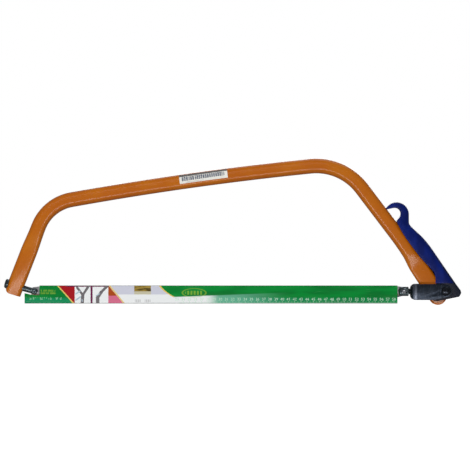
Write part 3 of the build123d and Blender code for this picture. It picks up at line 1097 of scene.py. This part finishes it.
class Pull:
    """A ring that is pulled along a path in the side view and leaves a tube's skin behind it."""

    def __init__(
        self, start: Point, angle: float, width: float, thickness: float, segments: int = 40
    ) -> None:
        """Start with a flat-oval ring.

        Args:
            start: The ring's middle.
            angle: The direction it is pulled in, in radians.
            width: The section's size in the side view.
            thickness: Its size along y.
            segments: Edges round the ring.
        """
        self.bm = bmesh.new()
        self.at = start
        self.angle = angle
        self.width = width
        self.thickness = thickness
        round_part = Matrix.Rotation(pi / segments, 4, "Z")
        made = bmesh.ops.create_circle(self.bm, segments=segments, radius=thickness / 2, matrix=round_part)
        self.verts = made["verts"]
        self.leftward = {v: v.co.x > 0 for v in self.verts}
        for v in self.verts:
            side = 1 if self.leftward[v] else -1
            bmesh.ops.translate(self.bm, vec=Vector((side * (width - thickness) / 2, 0, 0)), verts=[v])
        bmesh.ops.transform(self.bm, matrix=across(start, angle), verts=self.verts)

    def _edges(self) -> list[bmesh.types.BMEdge]:
        """The ring's own edges."""
        ring = set(self.verts)
        return [e for e in self.bm.edges if e.verts[0] in ring and e.verts[1] in ring]

    def _halves(self) -> dict[bool, Matrix]:
        """Matrices from a unit round section to each half of the ring where it now is.

        Returns:
            The matrix of the left half, under True, and of the right half, under False.
        """
        reach = (self.width - self.thickness) / 2
        size = Matrix.Diagonal((self.thickness / 2, self.thickness / 2, 1, 1))
        return {
            left: across(self.at, self.angle) @ Matrix.Translation((reach if left else -reach, 0, 0)) @ size
            for left in (True, False)
        }

    def ahead(
        self, distance: float, width: Optional[float] = None, thickness: Optional[float] = None
    ) -> None:
        """Pull the ring straight on, to another size if one is given.

        Args:
            distance: How far it is pulled.
            width: The section's new size in the side view.
            thickness: Its new size along y.
        """
        before = self._halves()
        self.at = step(self.at, self.angle, distance)
        self.width = width or self.width
        self.thickness = thickness or self.thickness
        after = self._halves()
        made = bmesh.ops.extrude_edge_only(self.bm, edges=self._edges())["geom"]
        self._follow(verts_in(made), before)
        for left, matrix in after.items():
            chosen = [v for v in self.verts if self.leftward[v] is left]
            bmesh.ops.transform(self.bm, matrix=matrix @ before[left].inverted(), verts=chosen)

    def turn(self, angle: float, radius: float, steps: int) -> None:
        """Pull the ring round a bend.

        Args:
            angle: How far it turns, in radians, to the left if positive.
            radius: The bend's radius.
            steps: Rings along the bend.
        """
        side = 1 if angle > 0 else -1
        centre = step(self.at, self.angle + side * pi / 2, radius)
        made = bmesh.ops.spin(
            self.bm, geom=self.verts + self._edges(), cent=(centre[0], 0, centre[1]), axis=-side * Y_AXIS,
            angle=abs(angle), steps=steps,
        )["geom_last"]
        self.at = step(centre, self.angle - side * pi / 2 + angle, radius)
        self.angle += angle
        self._follow(verts_in(made), self._halves())

    def _follow(self, verts: list[bmesh.types.BMVert], halves: dict[bool, Matrix]) -> None:
        """Take the newest ring, and note which half each of its points is on.

        Args:
            verts: The newest ring's points.
            halves: Matrices of the ring's halves where those points now are.
        """
        self.verts = verts
        section = (halves[True] @ Matrix.Diagonal((2 / self.thickness,) * 2 + (1, 1))).inverted()
        reach = (self.width - self.thickness) / 2
        self.leftward = {v: (section @ v.co).x + reach > 0 for v in verts}


def cut_away(bm: Shape, point: Point, angle: float, reach: float = 60.0) -> None:
    """Cut off what lies beyond a plane square to the side view.

    Args:
        bm: The shape.
        point: A point of the plane.
        angle: The direction, in radians, that points to what is cut off.
        reach: How far from the point the plane cuts.
    """
    near = [f for f in bm.faces if hypot(*(f.calc_center_median().xz - Vector(point))) < reach]
    edges = {e for f in near for e in f.edges}
    verts = {v for f in near for v in f.verts}
    bmesh.ops.bisect_plane(
        bm, geom=[*verts, *edges, *near], plane_co=(point[0], 0, point[1]),
        plane_no=(cos(angle), 0, sin(angle)), clear_outer=True,
    )


# ---- the sub-assemblies ----


@dataclass
class Bow:
    """The bent tube with its sticker, the front anchor and the pivot's sleeve.

    Attributes:
        foot: Where the centre line starts, at the toe. Its corners follow, up to its end.
        radii: The bends' radii, from the toe to the heel.
        steps: Rings along each bend, and run_steps those along each straight run.
        bar: The section's size in the side view and along y. toe and heel are the flattened ends.
        wall: The tube's wall, and rim_radius the rounding of its rims.
        front_flat: How much of the front end is flat, and front_blend how soon it is oval.
        rear_flat: The same for the rear end, with rear_blend.
        cut_centre: Middle of the front end's sloping cut, and cut_slope its slope in degrees.
        corner_radius: Radius of the toe's corner.
        rim_step: Degrees between the cuts that round an end.
        sticker_from: Where the sticker starts, and sticker_length how long it is.
        sticker_low: Its lower edge, from the centre line, and sticker_high its upper edge.
        sticker_lift: How far it stands off the tube, and sticker_wall how thick it is.
        pin: The toe pin's profile, as pin_profile takes it.
        sleeve: The pivot sleeve's profile, as ring_profile takes it.
        arch_centre: Centre of the top bar's arch, known once the tube is pulled.
    """

    foot: Point = (-38.0, -10.1)
    front_bend: Point = (21.0, 141.1)
    peak: Point = (257.3, 182.6)
    rear_bend: Point = (497.0, 207.2)
    kink: Point = (593.4, 80.2)
    end: Point = (650.6, -7.3)
    radii: tuple[float, ...] = (70.0, 5000.0, 92.0, 400.0)
    steps: tuple[int, ...] = (26, 14, 26, 10)
    bar: tuple[float, float] = (24.0, 18.0)
    toe: tuple[float, float] = (27.0, 13.2)
    heel: tuple[float, float] = (29.2, 9.4)
    wall: float = 1.4
    rim_radius: float = 0.35
    front_flat: float = 78.0
    front_blend: float = 42.0
    rear_flat: float = 56.0
    rear_blend: float = 30.0
    cut_centre: Point = (-34.6, -5.4)
    cut_slope: float = 17.5
    corner_radius: float = 8.0
    sticker_from: float = 234.5
    sticker_length: float = 78.0
    sticker_low: float = -3.2
    sticker_high: float = 10.7
    sticker_lift: float = 0.04
    sticker_wall: float = 0.12
    run_steps: int = 4
    rim_step: int = 15
    pin: tuple[float, ...] = (5.2, 3.9, 4.0, 3.0)
    sleeve: tuple[float, ...] = (6.0, 4.06, -9.2, 9.2)
    arch_centre: Point = field(init=False, default=(0.0, 0.0))

    def corners(self) -> list[Point]:
        """The centre line's corners, from the toe to the heel."""
        return [self.foot, self.front_bend, self.peak, self.rear_bend, self.kink, self.end]

    def bends(self) -> list[tuple[float, float]]:
        """Turn and tangent length at each inner corner.

        Returns:
            The turn, in radians, and the tangent length of each bend.
        """
        corners = self.corners()
        found = []
        for before, corner, after, radius in zip(corners, corners[1:], corners[2:], self.radii):
            turn = heading(corner, after) - heading(before, corner)
            found.append((turn, radius * tan(abs(turn) / 2)))
        return found

    def tube(self) -> Piece:
        """Pull, cut and hollow the tube.

        Returns:
            The piece.
        """
        corners = self.corners()
        bends = self.bends()
        pull = Pull(self.foot, heading(*corners[:2]), *self.toe)
        pull.ahead(self.front_flat)
        self._blend(pull, self.front_blend, self.toe, self.bar)
        spare = self.front_flat + self.front_blend
        for number, (turn, tangent) in enumerate(bends):
            run = apart(corners[number], corners[number + 1]) - spare - tangent
            for _ in range(self.run_steps):
                pull.ahead(run / self.run_steps)
            if number == 1:
                self.arch_centre = step(pull.at, pull.angle - pi / 2, self.radii[1])
            pull.turn(turn, self.radii[number], self.steps[number])
            spare = tangent
        pull.ahead(apart(self.kink, self.end) - spare - self.rear_flat - self.rear_blend)
        self._blend(pull, self.rear_blend, self.bar, self.heel)
        pull.ahead(self.rear_flat)
        rear = pull.angle
        pull.ahead(self.heel[0])
        self._trim_front(pull.bm)
        half = self.heel[0] / 2 * cos(radians(self.rim_step / 2))
        for angle in range(-75, 90, self.rim_step):
            outward = rear + radians(angle)
            cut_away(pull.bm, step(self.end, outward, half), outward)
        bmesh.ops.recalc_face_normals(pull.bm, faces=pull.bm.faces)
        bmesh.ops.solidify(pull.bm, geom=pull.bm.faces[:], thickness=self.wall)
        soften(pull.bm, self.rim_radius, 60)
        return put(pull.bm, "bow_tube", Body.FRAME, StovedEnamel(), ["frame_tube"])

    def _blend(self, pull: Pull, length: float, start: Point, end: Point, steps: int = 10) -> None:
        """Pull a stretch whose section goes smoothly from one size to another.

        Args:
            pull: The ring that is pulled.
            length: How long the stretch is.
            start: The section's size before it.
            end: The section's size after it.
            steps: Rings along it.
        """
        for number in range(1, steps + 1):
            share = number / steps
            eased = share * share * (3 - 2 * share)
            width = start[0] + (end[0] - start[0]) * eased
            thickness = start[1] + (end[1] - start[1]) * eased
            pull.ahead(length / steps, width, thickness)

    def _trim_front(self, bm: Shape) -> None:
        """Cut the front end on its slope, and round its toe corner off.

        Args:
            bm: The tube's skin.
        """
        slope = -radians(self.cut_slope)
        cut_away(bm, self.cut_centre, slope - pi / 2)
        radius = self.corner_radius
        toe = step(self.cut_centre, slope, radius - self.toe[0] / 2 - 0.6)
        middle = step(toe, slope + pi / 2, radius)
        for angle in range(-105, -180, -self.rim_step):
            outward = slope + radians(angle)
            cut_away(bm, step(middle, outward, radius), outward)

    def sticker(self) -> Piece:
        """Lay a thin label along the near side of the arched bar.

        Returns:
            The piece.
        """
        radius = self.radii[1]
        height = sqrt(radius**2 - (self.sticker_from - self.arch_centre[0]) ** 2)
        start = (self.sticker_from, self.arch_centre[1] + height)
        along = heading(self.arch_centre, start) - pi / 2
        flat = (self.bar[0] - self.bar[1]) / 2
        face = self.bar[1] / 2 + self.sticker_lift
        bm = bmesh.new()
        low = bm.verts.new((self.sticker_low, -face, 0))
        grown = bmesh.ops.extrude_vert_indiv(bm, verts=[low])["verts"]
        bmesh.ops.translate(bm, vec=Vector((flat - self.sticker_low, 0, 0)), verts=grown)
        bend = asin((self.sticker_high - flat) / face)
        bmesh.ops.spin(bm, geom=grown, cent=(flat, 0, 0), axis=(0, 0, 1), angle=bend, steps=8)
        bmesh.ops.transform(bm, matrix=across(start, along), verts=bm.verts)
        bmesh.ops.spin(
            bm, geom=bm.verts[:] + bm.edges[:], cent=(self.arch_centre[0], 0, self.arch_centre[1]),
            axis=Y_AXIS, angle=self.sticker_length / radius, steps=26,
        )
        bmesh.ops.recalc_face_normals(bm, faces=bm.faces)
        if sum(f.normal.y for f in bm.faces) > 0:
            bmesh.ops.reverse_faces(bm, faces=bm.faces)
        bmesh.ops.solidify(bm, geom=bm.faces[:], thickness=-self.sticker_wall)
        corner = step(start, along + pi / 2, self.sticker_low)
        paper = LabelPaper(corner, along, self.sticker_length, self.sticker_high - self.sticker_low)
        return put(bm, "bar_label", Body.FRAME, paper, ["frame_sticker"])

    def hardware(self) -> None:
        """Make the anchor bolt, its pin and the pivot's sleeve."""
        bolt = softened_copy("front_anchor_bolt", 0.3)
        put(bolt, "anchor_bolt", Body.FRAME, DARK_ZINC, ["front_anchor_bolt"], in_frame=True)
        pin = turned([pin_profile(*self.pin)], ORIGIN)
        put(pin, "toe_pin", Body.FRAME, DARK_ZINC, ["front_blade_pin"])
        sleeve = turned([ring_profile(*self.sleeve)], DRAWING.axis_of("pivot_sleeve"))
        put(sleeve, "lever_sleeve", Body.FRAME, BRIGHT_ZINC, ["pivot_sleeve"])


def pin_profile(end: float, head: float, seat: float, shank: float) -> list[Point]:
    """Profile of a pin with a peened head at each end.

    Args:
        end: How far each end is from the middle.
        head: The heads' radius.
        seat: How far the heads' seats are from the middle.
        shank: The pin's radius.

    Returns:
        Points (radius, along), from one end to the other.
    """
    soft = min(0.5, (end - seat) * 0.45)
    half = [
        (0.0, end - 0.35),
        (head * 0.3, end - 0.22),
        (head * 0.5, end),
        (head - soft * 1.2, end - soft * 0.2),
        (head - soft * 0.3, end - soft * 0.7),
        (head, end - soft * 1.6),
        (head, seat + 0.08),
        (head - 0.1, seat),
        (shank, seat),
    ]
    return half + [(radius, -along) for radius, along in reversed(half)]


def both_sides(profile: list[Point]) -> list[list[Point]]:
    """A profile turned to the near side, and the same one turned to the far side."""
    return [[(radius, side * along) for radius, along in profile] for side in (-1, 1)]


def ring_profile(outside: float, inside: float, start: float, end: float) -> list[Point]:
    """Profile of a washer or sleeve with soft rims.

    Args:
        outside: Its outer radius.
        inside: Its bore's radius.
        start: Where it starts along the axis.
        end: Where it ends.

    Returns:
        Points (radius, along), the first one repeated at the end.
    """
    soft = min(0.25, (end - start) * 0.25)
    return [
        (inside + soft, start),
        (outside - soft, start),
        (outside, start + soft),
        (outside, end - soft),
        (outside - soft, end),
        (inside + soft, end),
        (inside, end - soft),
        (inside, start + soft),
        (inside + soft, start),
    ]


@dataclass
class Lever:
    """The tension lever: a folded channel in a plastic grip, with its rivets.

    Attributes:
        back_foot: The grip's back corner at its foot.
        curl_centre: Centre of the finger curl's back, and curl_radius its radius.
        hole_centre: Centre of the finger hole, and hole_radius its radius.
        half_body: Half the grip's thickness, and half_curl that of the curl.
        hook_swell: How far the curl's sections stand out, which the smoothing takes back.
        channel: Half the room for the channel, and tube_room for the tube.
        pivot: The pivot rivet's profile, as pin_profile takes it.
        rivet_tail: A strap rivet's tail: its radius and where it ends.
        rivet_shank: Its shank: its radius and where it starts.
        rivet_seat: Where its dome starts, and rivet_end where the dome ends.
        rivet_head: The dome's radius.
        washer: A washer's outer radius, start and end along y.
    """

    back_foot: Point = (679.3, 13.0)
    curl_centre: Point = (584.5, 124.5)
    curl_radius: float = 19.4
    hole_centre: Point = (581.6, 125.3)
    hole_radius: float = 10.3
    half_body: float = 13.6
    half_curl: float = 9.0
    hook_swell: float = 0.5
    channel: float = 11.05
    tube_room: float = 9.6
    pivot: tuple[float, ...] = (12.2, 6.4, 11.0, 4.0)
    rivet_tail: tuple[float, float] = (5.0, 7.7)
    rivet_shank: tuple[float, float] = (3.5, 9.5)
    rivet_seat: float = 14.75
    rivet_end: float = 18.35
    rivet_head: float = 7.4
    washer: tuple[float, float, float] = (6.6, 11.0, 12.25)

    def sections(self) -> list[tuple[Point, Point, float, float, float]]:
        """Sections of the grip from its foot to the curl's tip.

        Returns:
            For each one its front point, its back point, its half thickness, the half width of the
            room inside it and that room's depth.
        """
        body = self.half_body
        steel = self.channel
        tube = self.tube_room
        made = [
            ((645.6, 13.0), self.back_foot, body - 0.5, steel, 33.0),
            ((645.9, 13.6), (678.9, 13.6), body, steel, 32.2),
            ((646.9, 19.0), (674.6, 20.0), body, steel, 26.8),
            ((646.0, 25.5), (669.5, 27.4), body, steel, 22.4),
            ((643.6, 31.6), (664.0, 35.5), body, steel, 19.3),
            ((638.4, 37.6), (657.6, 44.8), body, steel, 19.0),
            ((631.5, 44.2), (650.5, 55.2), body, steel, 20.0),
            ((624.5, 51.5), (643.8, 65.0), body, steel, 20.9),
            ((616.8, 61.0), (637.4, 74.2), body, steel, 20.9),
            ((609.1, 71.5), (629.0, 84.6), body, steel, 20.2),
            ((602.0, 81.2), (620.8, 92.9), body, tube, 8.0),
            ((595.0, 91.0), (611.3, 101.0), 13.2, tube, 6.6),
            ((589.6, 101.0), (605.6, 107.2), 12.4, tube, 3.6),
            ((586.6, 107.2), (604.4, 109.4), 11.6, tube, 1.4),
            ((584.4, 111.9), (604.3, 112.4), 10.4, 8.0, 0.5),
            ((585.3, 115.4), (604.3, 116.6), 9.6, 7.4, 0.4),
        ]
        inner_radius = self.hole_radius - self.hook_swell
        outer_radius = self.curl_radius + self.hook_swell
        for inner, outer in ((-46, -8), (-20, 4), (6, 20), (34, 40), (62, 62)):
            front = step(self.hole_centre, radians(inner), inner_radius)
            back = step(self.curl_centre, radians(outer), outer_radius)
            made.append((front, back, self.half_curl, 7.0, 0.4))
        for front, angle, half in (
            ((582.2, 135.0), 86, 8.8),
            ((577.2, 134.0), 107, 8.4),
            ((572.2, 132.9), 127, 7.6),
        ):
            back = step(self.curl_centre, radians(angle), outer_radius)
            made.append((front, back, half, half - 2.2, 0.3))
        made += [
            ((568.6, 132.2), (568.2, 135.8), 6.4, 4.4, 0.2),
            ((567.2, 132.0), (566.6, 133.6), 4.6, 3.0, 0.15),
        ]
        return made

    def ring(self, section: tuple[Point, Point, float, float, float]) -> list[Vector]:
        """Points of one section, round the outside and back through the room inside it.

        Args:
            section: One of the grip's sections.

        Returns:
            The points, on the drawing.
        """
        front, back, half, room, depth = section
        width = apart(front, back)
        angle = heading(front, back)
        round_back = min(5.0, width * 0.3, half * 0.5)
        lip = min(0.9, (half - room) * 0.45, width * 0.12)
        side = [
            (width, half * 0.3),
            (width - round_back * 0.12, half - round_back),
            (width - round_back, half - round_back * 0.12),
            (width * 0.5, half),
            (lip, half),
            (0, half - lip),
            (0, room + lip),
            (min(lip, depth * 0.3), room),
            (depth * 0.8, room),
            (depth, room * 0.8),
        ]
        loop = side + [(along, -y) for along, y in reversed(side)]
        return [Vector((front[0] + u * cos(angle), y, front[1] + u * sin(angle))) for u, y in loop]

    def grip(self) -> Piece:
        """Pull the grip's ring from section to section, up and round the finger curl.

        Returns:
            The piece.
        """
        sections = self.sections()
        bm = bmesh.new()
        verts = [bm.verts.new(point) for point in self.ring(sections[0])]
        edges = [bm.edges.new((verts[n - 1], verts[n])) for n in range(len(verts))]
        bmesh.ops.contextual_create(bm, geom=edges)
        for section in sections[1:]:
            made = bmesh.ops.extrude_edge_only(bm, edges=edges)["geom"]
            fresh = set(verts_in(made))
            verts = [next(e.other_vert(v) for e in v.link_edges if e.other_vert(v) in fresh) for v in verts]
            for vert, point in zip(verts, self.ring(section)):
                bmesh.ops.translate(bm, vec=point - vert.co, verts=[vert])
            edges = [bm.edges.get((verts[n - 1], verts[n])) for n in range(len(verts))]
        bmesh.ops.contextual_create(bm, geom=edges)
        ends = [f for f in bm.faces if len(f.verts) > 4]
        bmesh.ops.triangulate(bm, faces=ends)
        bmesh.ops.recalc_face_normals(bm, faces=bm.faces)
        return put(
            bm, "lever_moulding", Body.LEVER, MouldedPlastic(), ["lever_grip"], sharp=80, levels=2
        )

    def steel(self) -> None:
        """Make the channel, the pivot's rivet, and the strap's rivets and washers."""
        bm = softened_copy("lever_channel", 0.45)
        put(bm, "heel_channel", Body.LEVER, PaintedSteel(), ["lever_channel"], in_frame=True)
        pivot = turned([pin_profile(*self.pivot)], DRAWING.axis_of("lever_pivot_rivet"))
        put(pivot, "pivot_rivet", Body.LEVER, BRIGHT_ZINC, ["lever_pivot_rivet"])
        centre = DRAWING.axis_of("strap_rivets")
        rivets = turned(both_sides(self.rivet_profile()), centre)
        outside, start, end = self.washer
        shank = self.rivet_shank[0]
        rings = [ring_profile(outside, shank, *ends) for ends in ((-end, -start), (start, end))]
        washers = turned(rings, centre)
        put(rivets, "dome_rivets", Body.LEVER, BLACK_OXIDE, ["strap_rivets"])
        put(washers, "cheek_washers", Body.LEVER, BLACK_OXIDE, ["strap_washers"])

    def rivet_profile(self) -> list[Point]:
        """Profile of one strap rivet, from its tail inside the channel to its dome.

        Returns:
            Points (radius, along).
        """
        tail, tail_end = self.rivet_tail
        shank, seat = self.rivet_shank
        height = self.rivet_end - self.rivet_seat
        made = [(0, tail_end), (tail - 0.6, tail_end), (tail, tail_end + 0.6), (tail, seat), (shank, seat)]
        made += [(shank, self.rivet_seat), (self.rivet_head - 0.2, self.rivet_seat)]
        for angle in range(0, 91, 10):
            out = self.rivet_head * cos(radians(angle))
            made.append((out, self.rivet_seat + 0.3 + (height - 0.3) * sin(radians(angle))))
        return made


@dataclass
class Strap:
    """The U-shaped strap that pulls the blade, with the blade's rear holder.

    Attributes:
        pin: The rear pin's profile, as pin_profile takes it.
        slot_face: Where the pin's studs stop, at the faces of the holder's slot.
        washer: The tail washer's profile, as ring_profile takes it.
    """

    pin: tuple[float, ...] = (7.2, 3.9, 6.0, 3.0)
    slot_face: float = 0.75
    washer: tuple[float, ...] = (8.0, 4.5, 608.5, 609.7)

    def build(self) -> None:
        """Make the strap, the holder, its washer and the pin's two studs."""
        strap = softened_copy("tension_strap", 0.4)
        put(strap, "u_strap", Body.STRAP, PressedSteel(), ["tension_strap"], in_frame=True)
        holder = softened_copy("rear_blade_holder", 0.3)
        put(holder, "blade_holder", Body.STRAP, DARK_ZINC, ["rear_blade_holder"], in_frame=True)
        washer = turned([ring_profile(*self.washer)], ORIGIN, X_AXIS)
        put(washer, "tail_washer", Body.STRAP, BRIGHT_ZINC, ["holder_washer"])
        half = pin_profile(*self.pin)
        half = half[: len(half) // 2] + [(self.pin[-1], self.slot_face), (0, self.slot_face)]
        studs = turned(both_sides(half), DRAWING.axis_of("rear_blade_pin"))
        put(studs, "heel_pin", Body.STRAP, BRIGHT_ZINC, ["rear_blade_pin"])


@dataclass
class Blade:
    """The toothed blade, whose cutters are set to alternate sides.

    Attributes:
        tooth_from: Where the first tooth is, and pitch the step from one to the next.
        group: Teeth in a group, whose first one is a raker that isn't set.
        teeth_below: Height at which the teeth bend, and tips that of their points.
        side_set: How far the points are bent.
    """

    tooth_from: float = 22.0
    pitch: float = 5.5
    group: int = 5
    teeth_below: float = -8.7
    tips: float = -13.4
    side_set: float = 0.3

    def build(self) -> Piece:
        """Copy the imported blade, and bend each cutter over a little.

        Returns:
            The piece.
        """
        bm = merged_copy("saw_blade")
        line = DRAWING.to_frame() @ Vector((0, 0, self.teeth_below))
        bmesh.ops.bisect_plane(bm, geom=whole(bm), plane_co=line, plane_no=UP)
        home = DRAWING.to_frame().inverted()
        for vert in bm.verts:
            point = home @ vert.co
            depth = (self.teeth_below - point.z) / (self.teeth_below - self.tips)
            tooth = round((point.x - self.tooth_from) / self.pitch)
            if depth > 0.05 and tooth % self.group:
                side = 1 if (tooth % self.group) % 2 else -1
                shift = Vector((0, side * self.side_set * depth * MM, 0))
                bmesh.ops.translate(bm, vec=shift, verts=[vert])
        return put(bm, "toothed_blade", Body.BLADE, BladeSteel(), ["saw_blade"], in_frame=True)


@dataclass
class Guard:
    """The folded board guard that slides down off the teeth, with its printed ruler.

    Attributes:
        start: Where the sleeve starts, and end where it ends.
        top: Height of its open edge, and bottom that of its fold.
        half_gap: Half the gap inside it, and wall the board's thickness.
        notch_to: Where the toe notch ends, notch_bottom its floor, and notch_slope the floor's slope.
        first_number: The ruler's first number, in centimetres, and last_number its last.
        number_height: How high the numbers are, and number_base where they stand.
        number_lift: How far they stand off the sleeve.
        runs: Faces along the sleeve.
    """

    start: float = -16.0
    end: float = 585.8
    top: float = 9.4
    bottom: float = -19.7
    half_gap: float = 1.0
    wall: float = 0.7
    notch_to: float = 8.2
    notch_bottom: float = -6.4
    notch_slope: float = 12.0
    first_number: int = 23
    last_number: int = 58
    number_height: float = 4.4
    number_base: float = -14.8
    number_lift: float = 0.03
    runs: int = 24

    def sleeve(self) -> Piece:
        """Fold the sleeve, cut its toe notch and give it its wall.

        Returns:
            The piece.
        """
        out = self.half_gap + self.wall
        bm = bmesh.new()
        fold = bm.verts.new((self.start, -out, self.bottom + out))
        bmesh.ops.spin(
            bm, geom=[fold], cent=(self.start, 0, self.bottom + out), axis=-X_AXIS, angle=-pi, steps=10
        )
        for vert in [v for v in bm.verts if abs(abs(v.co.y) - out) < 0.001]:
            grown = bmesh.ops.extrude_vert_indiv(bm, verts=[vert])["verts"]
            bmesh.ops.translate(bm, vec=Vector((0, 0, self.top - vert.co.z)), verts=grown)
        section = bm.edges[:]
        length = self.end - self.start
        for _ in range(self.runs):
            fresh = verts_in(bmesh.ops.extrude_edge_only(bm, edges=section)["geom"])
            bmesh.ops.translate(bm, vec=Vector((length / self.runs, 0, 0)), verts=fresh)
            section = [e for v in fresh for e in v.link_edges if e.other_vert(v) in fresh]
            section = list(dict.fromkeys(section))
        self._notch(bm)
        bmesh.ops.recalc_face_normals(bm, faces=bm.faces)
        lowest = min(bm.faces, key=lambda f: f.calc_center_median().z)
        if lowest.normal.z > 0:
            bmesh.ops.reverse_faces(bm, faces=bm.faces)
        bmesh.ops.solidify(bm, geom=bm.faces[:], thickness=self.wall)
        finish = PrintedSleeve(self.top, self.bottom, self.half_gap)
        return put(bm, "guard_sleeve", Body.GUARD, finish, ["blade_guard"])

    def _notch(self, bm: Shape) -> None:
        """Open the toe corner round the anchor's eye.

        Args:
            bm: The sleeve's skin.
        """
        climb = tan(radians(self.notch_slope))
        planes = [
            (Vector((self.notch_to, 0, 0)), X_AXIS),
            (Vector((0, 0, self.notch_bottom)), UP),
            (Vector((0, 0, self.notch_bottom)), Vector((climb, 0, 1))),
        ]
        for point, normal in planes:
            bmesh.ops.bisect_plane(bm, geom=whole(bm), plane_co=point, plane_no=normal)
        out = []
        for face in bm.faces:
            middle = face.calc_center_median()
            floor = max(self.notch_bottom, self.notch_bottom - middle.x * climb)
            if middle.x < self.notch_to and middle.z > floor:
                out.append(face)
        bmesh.ops.delete(bm, geom=out, context="FACES")

    def numbers(self) -> Piece:
        """Set the ruler's numbers on both faces of the sleeve.

        Returns:
            The piece.
        """
        face = self.half_gap + self.wall + self.number_lift
        bm = bmesh.new()
        for number in range(self.first_number, self.last_number + 1):
            for side in (-1, 1):
                digits = self._digits(str(number))
                x = number * 10.0 if side < 0 else self.start + self.end - number * 10.0
                stand = Matrix.Rotation(pi / 2, 4, "X")
                if side > 0:
                    stand = Matrix.Rotation(pi, 4, "Z") @ stand
                digits.transform(Matrix.Translation((x, side * face, self.number_base)) @ stand)
                bm.from_mesh(digits)
                bpy.data.meshes.remove(digits)
        bmesh.ops.remove_doubles(bm, verts=bm.verts, dist=JOIN)
        return put(bm, "ruler_numbers", Body.GUARD, NumberInk())

    def _digits(self, words: str) -> bpy.types.Mesh:
        """Mesh of one number, lying flat about its own middle.

        Args:
            words: The number.

        Returns:
            The mesh, in millimetres.
        """
        curve = bpy.data.curves.new("digits", "FONT")
        curve.body = words
        curve.size = self.number_height / FIGURE_SHARE
        curve.align_x = "CENTER"
        curve.extrude = 0.02
        curve.resolution_u = 2
        letters = bpy.data.objects.new("digits", curve)
        mesh = bpy.data.meshes.new_from_object(letters)
        bpy.data.objects.remove(letters)
        bpy.data.curves.remove(curve)
        return mesh


@dataclass
class Studio:
    """White floor and sky, soft lights and a straight-on camera.

    Attributes:
        aim: What the camera looks at, on the drawing.
        width: Width of the picture at the saw, in metres.
        lens: The camera's lens, in millimetres.
        floor_height: Height of the floor, and floor_size how wide it is, in metres.
    """

    aim: Point = (323.6, 90.9)
    width: float = 0.7586
    lens: float = 200.0
    floor_height: float = -0.27
    floor_size: float = 14.0

    def camera(self) -> None:
        """Stand the camera square to the saw's near side."""
        data = bpy.data.cameras.new("camera")
        data.lens = self.lens
        data.clip_end = 100
        camera = bpy.data.objects.new("camera", data)
        distance = self.width / 2 / tan(atan(data.sensor_width / 2 / self.lens))
        aim = DRAWING.to_frame() @ Vector((self.aim[0], 0, self.aim[1]))
        camera.location = aim - Y_AXIS * distance
        camera.rotation_euler = (pi / 2, 0, 0)
        bpy.context.scene.collection.objects.link(camera)
        bpy.context.scene.camera = camera

    def floor(self) -> None:
        """Lay the pale floor, which only the camera sees."""
        bm = bmesh.new()
        bmesh.ops.create_grid(bm, x_segments=2, y_segments=2, size=self.floor_size / 2)
        bmesh.ops.translate(bm, vec=Vector((0, 0, self.floor_height)), verts=bm.verts)
        mesh = bpy.data.meshes.new("floor")
        bm.to_mesh(mesh)
        bm.free()
        recipe = Recipe("pale_floor")
        clouds = recipe.noise(recipe.drawing(), 0.002, 2)
        colour = recipe.blend(clouds, srgb(250, 250, 250), srgb(244, 244, 244))
        recipe.surface(Base_Color=colour, Roughness=0.9, Emission_Color=WHITE, Emission_Strength=0.9)
        mesh.materials.append(recipe.material)
        floor = bpy.data.objects.new("floor", mesh)
        floor.visible_diffuse = False
        floor.visible_glossy = False
        floor.visible_shadow = False
        bpy.context.scene.collection.objects.link(floor)

    def light(
        self, name: str, place: tuple[float, float, float], size: Point, power: float,
        warm: tuple[float, float, float] = (1, 1, 1), gleams: bool = True,
    ) -> None:
        """Hang one soft box that faces the saw.

        Args:
            name: The light's name.
            place: Where it hangs, in metres.
            size: Its width and height.
            power: Its power, in watts.
            warm: Its colour.
            gleams: Whether it shows in reflections.
        """
        data = bpy.data.lights.new(name, "AREA")
        data.shape = "RECTANGLE"
        data.size, data.size_y = size
        data.energy = power
        data.color = warm
        lamp = bpy.data.objects.new(name, data)
        lamp.location = place
        lamp.rotation_mode = "QUATERNION"
        lamp.rotation_quaternion = (-Vector(place)).to_track_quat("-Z", "Y")
        lamp.visible_camera = False
        lamp.visible_glossy = gleams
        bpy.context.scene.collection.objects.link(lamp)

    def sky(self, shown: float = 1.0, felt: float = 0.2) -> None:
        """White to the camera, and a dimmer grey all round for the saw.

        Args:
            shown: The background's brightness.
            felt: The brightness that lights the saw.
        """
        world = bpy.data.worlds.new("studio")
        world.use_nodes = True
        nodes = Nodes(world.node_tree)
        to_camera = nodes.node("ShaderNodeLightPath").outputs["Is Camera Ray"]
        strengths = {"Value": to_camera, "To Min": felt, "To Max": shown}
        strength = nodes.node("ShaderNodeMapRange", None, strengths).outputs[0]
        background = world.node_tree.nodes["Background"].inputs
        nodes.feed(background["Strength"], strength)
        nodes.feed(background["Color"], WHITE)
        bpy.context.scene.world = world

    def build(self) -> None:
        """Set up the camera, floor, sky and lights."""
        self.camera()
        self.floor()
        self.sky()
        self.light("front_box", (-0.5, -2.2, 1.0), (1.8, 1.2), 37, gleams=False)
        self.light("low_strip", (-0.2, -1.6, -0.66), (2.4, 0.22), 11, (1.0, 0.96, 0.92))
        self.light("top_box", (0.3, 0.4, 1.8), (2.0, 1.0), 6)
        self.light("back_box", (0.4, 2.2, 0.9), (1.8, 1.2), 22)
        bpy.context.scene.view_settings.view_transform = "Standard"


def main() -> None:
    """Build the saw and the studio."""
    logging.basicConfig(level=logging.INFO, format="%(name)s: %(message)s")
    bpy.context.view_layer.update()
    Studio().build()
    bow = Bow()
    bow.tube()
    bow.sticker()
    bow.hardware()
    lever = Lever()
    lever.grip()
    lever.steel()
    Strap().build()
    Blade().build()
    guard = Guard()
    guard.sleeve()
    guard.numbers()


if __name__ == "__main__":
    main()
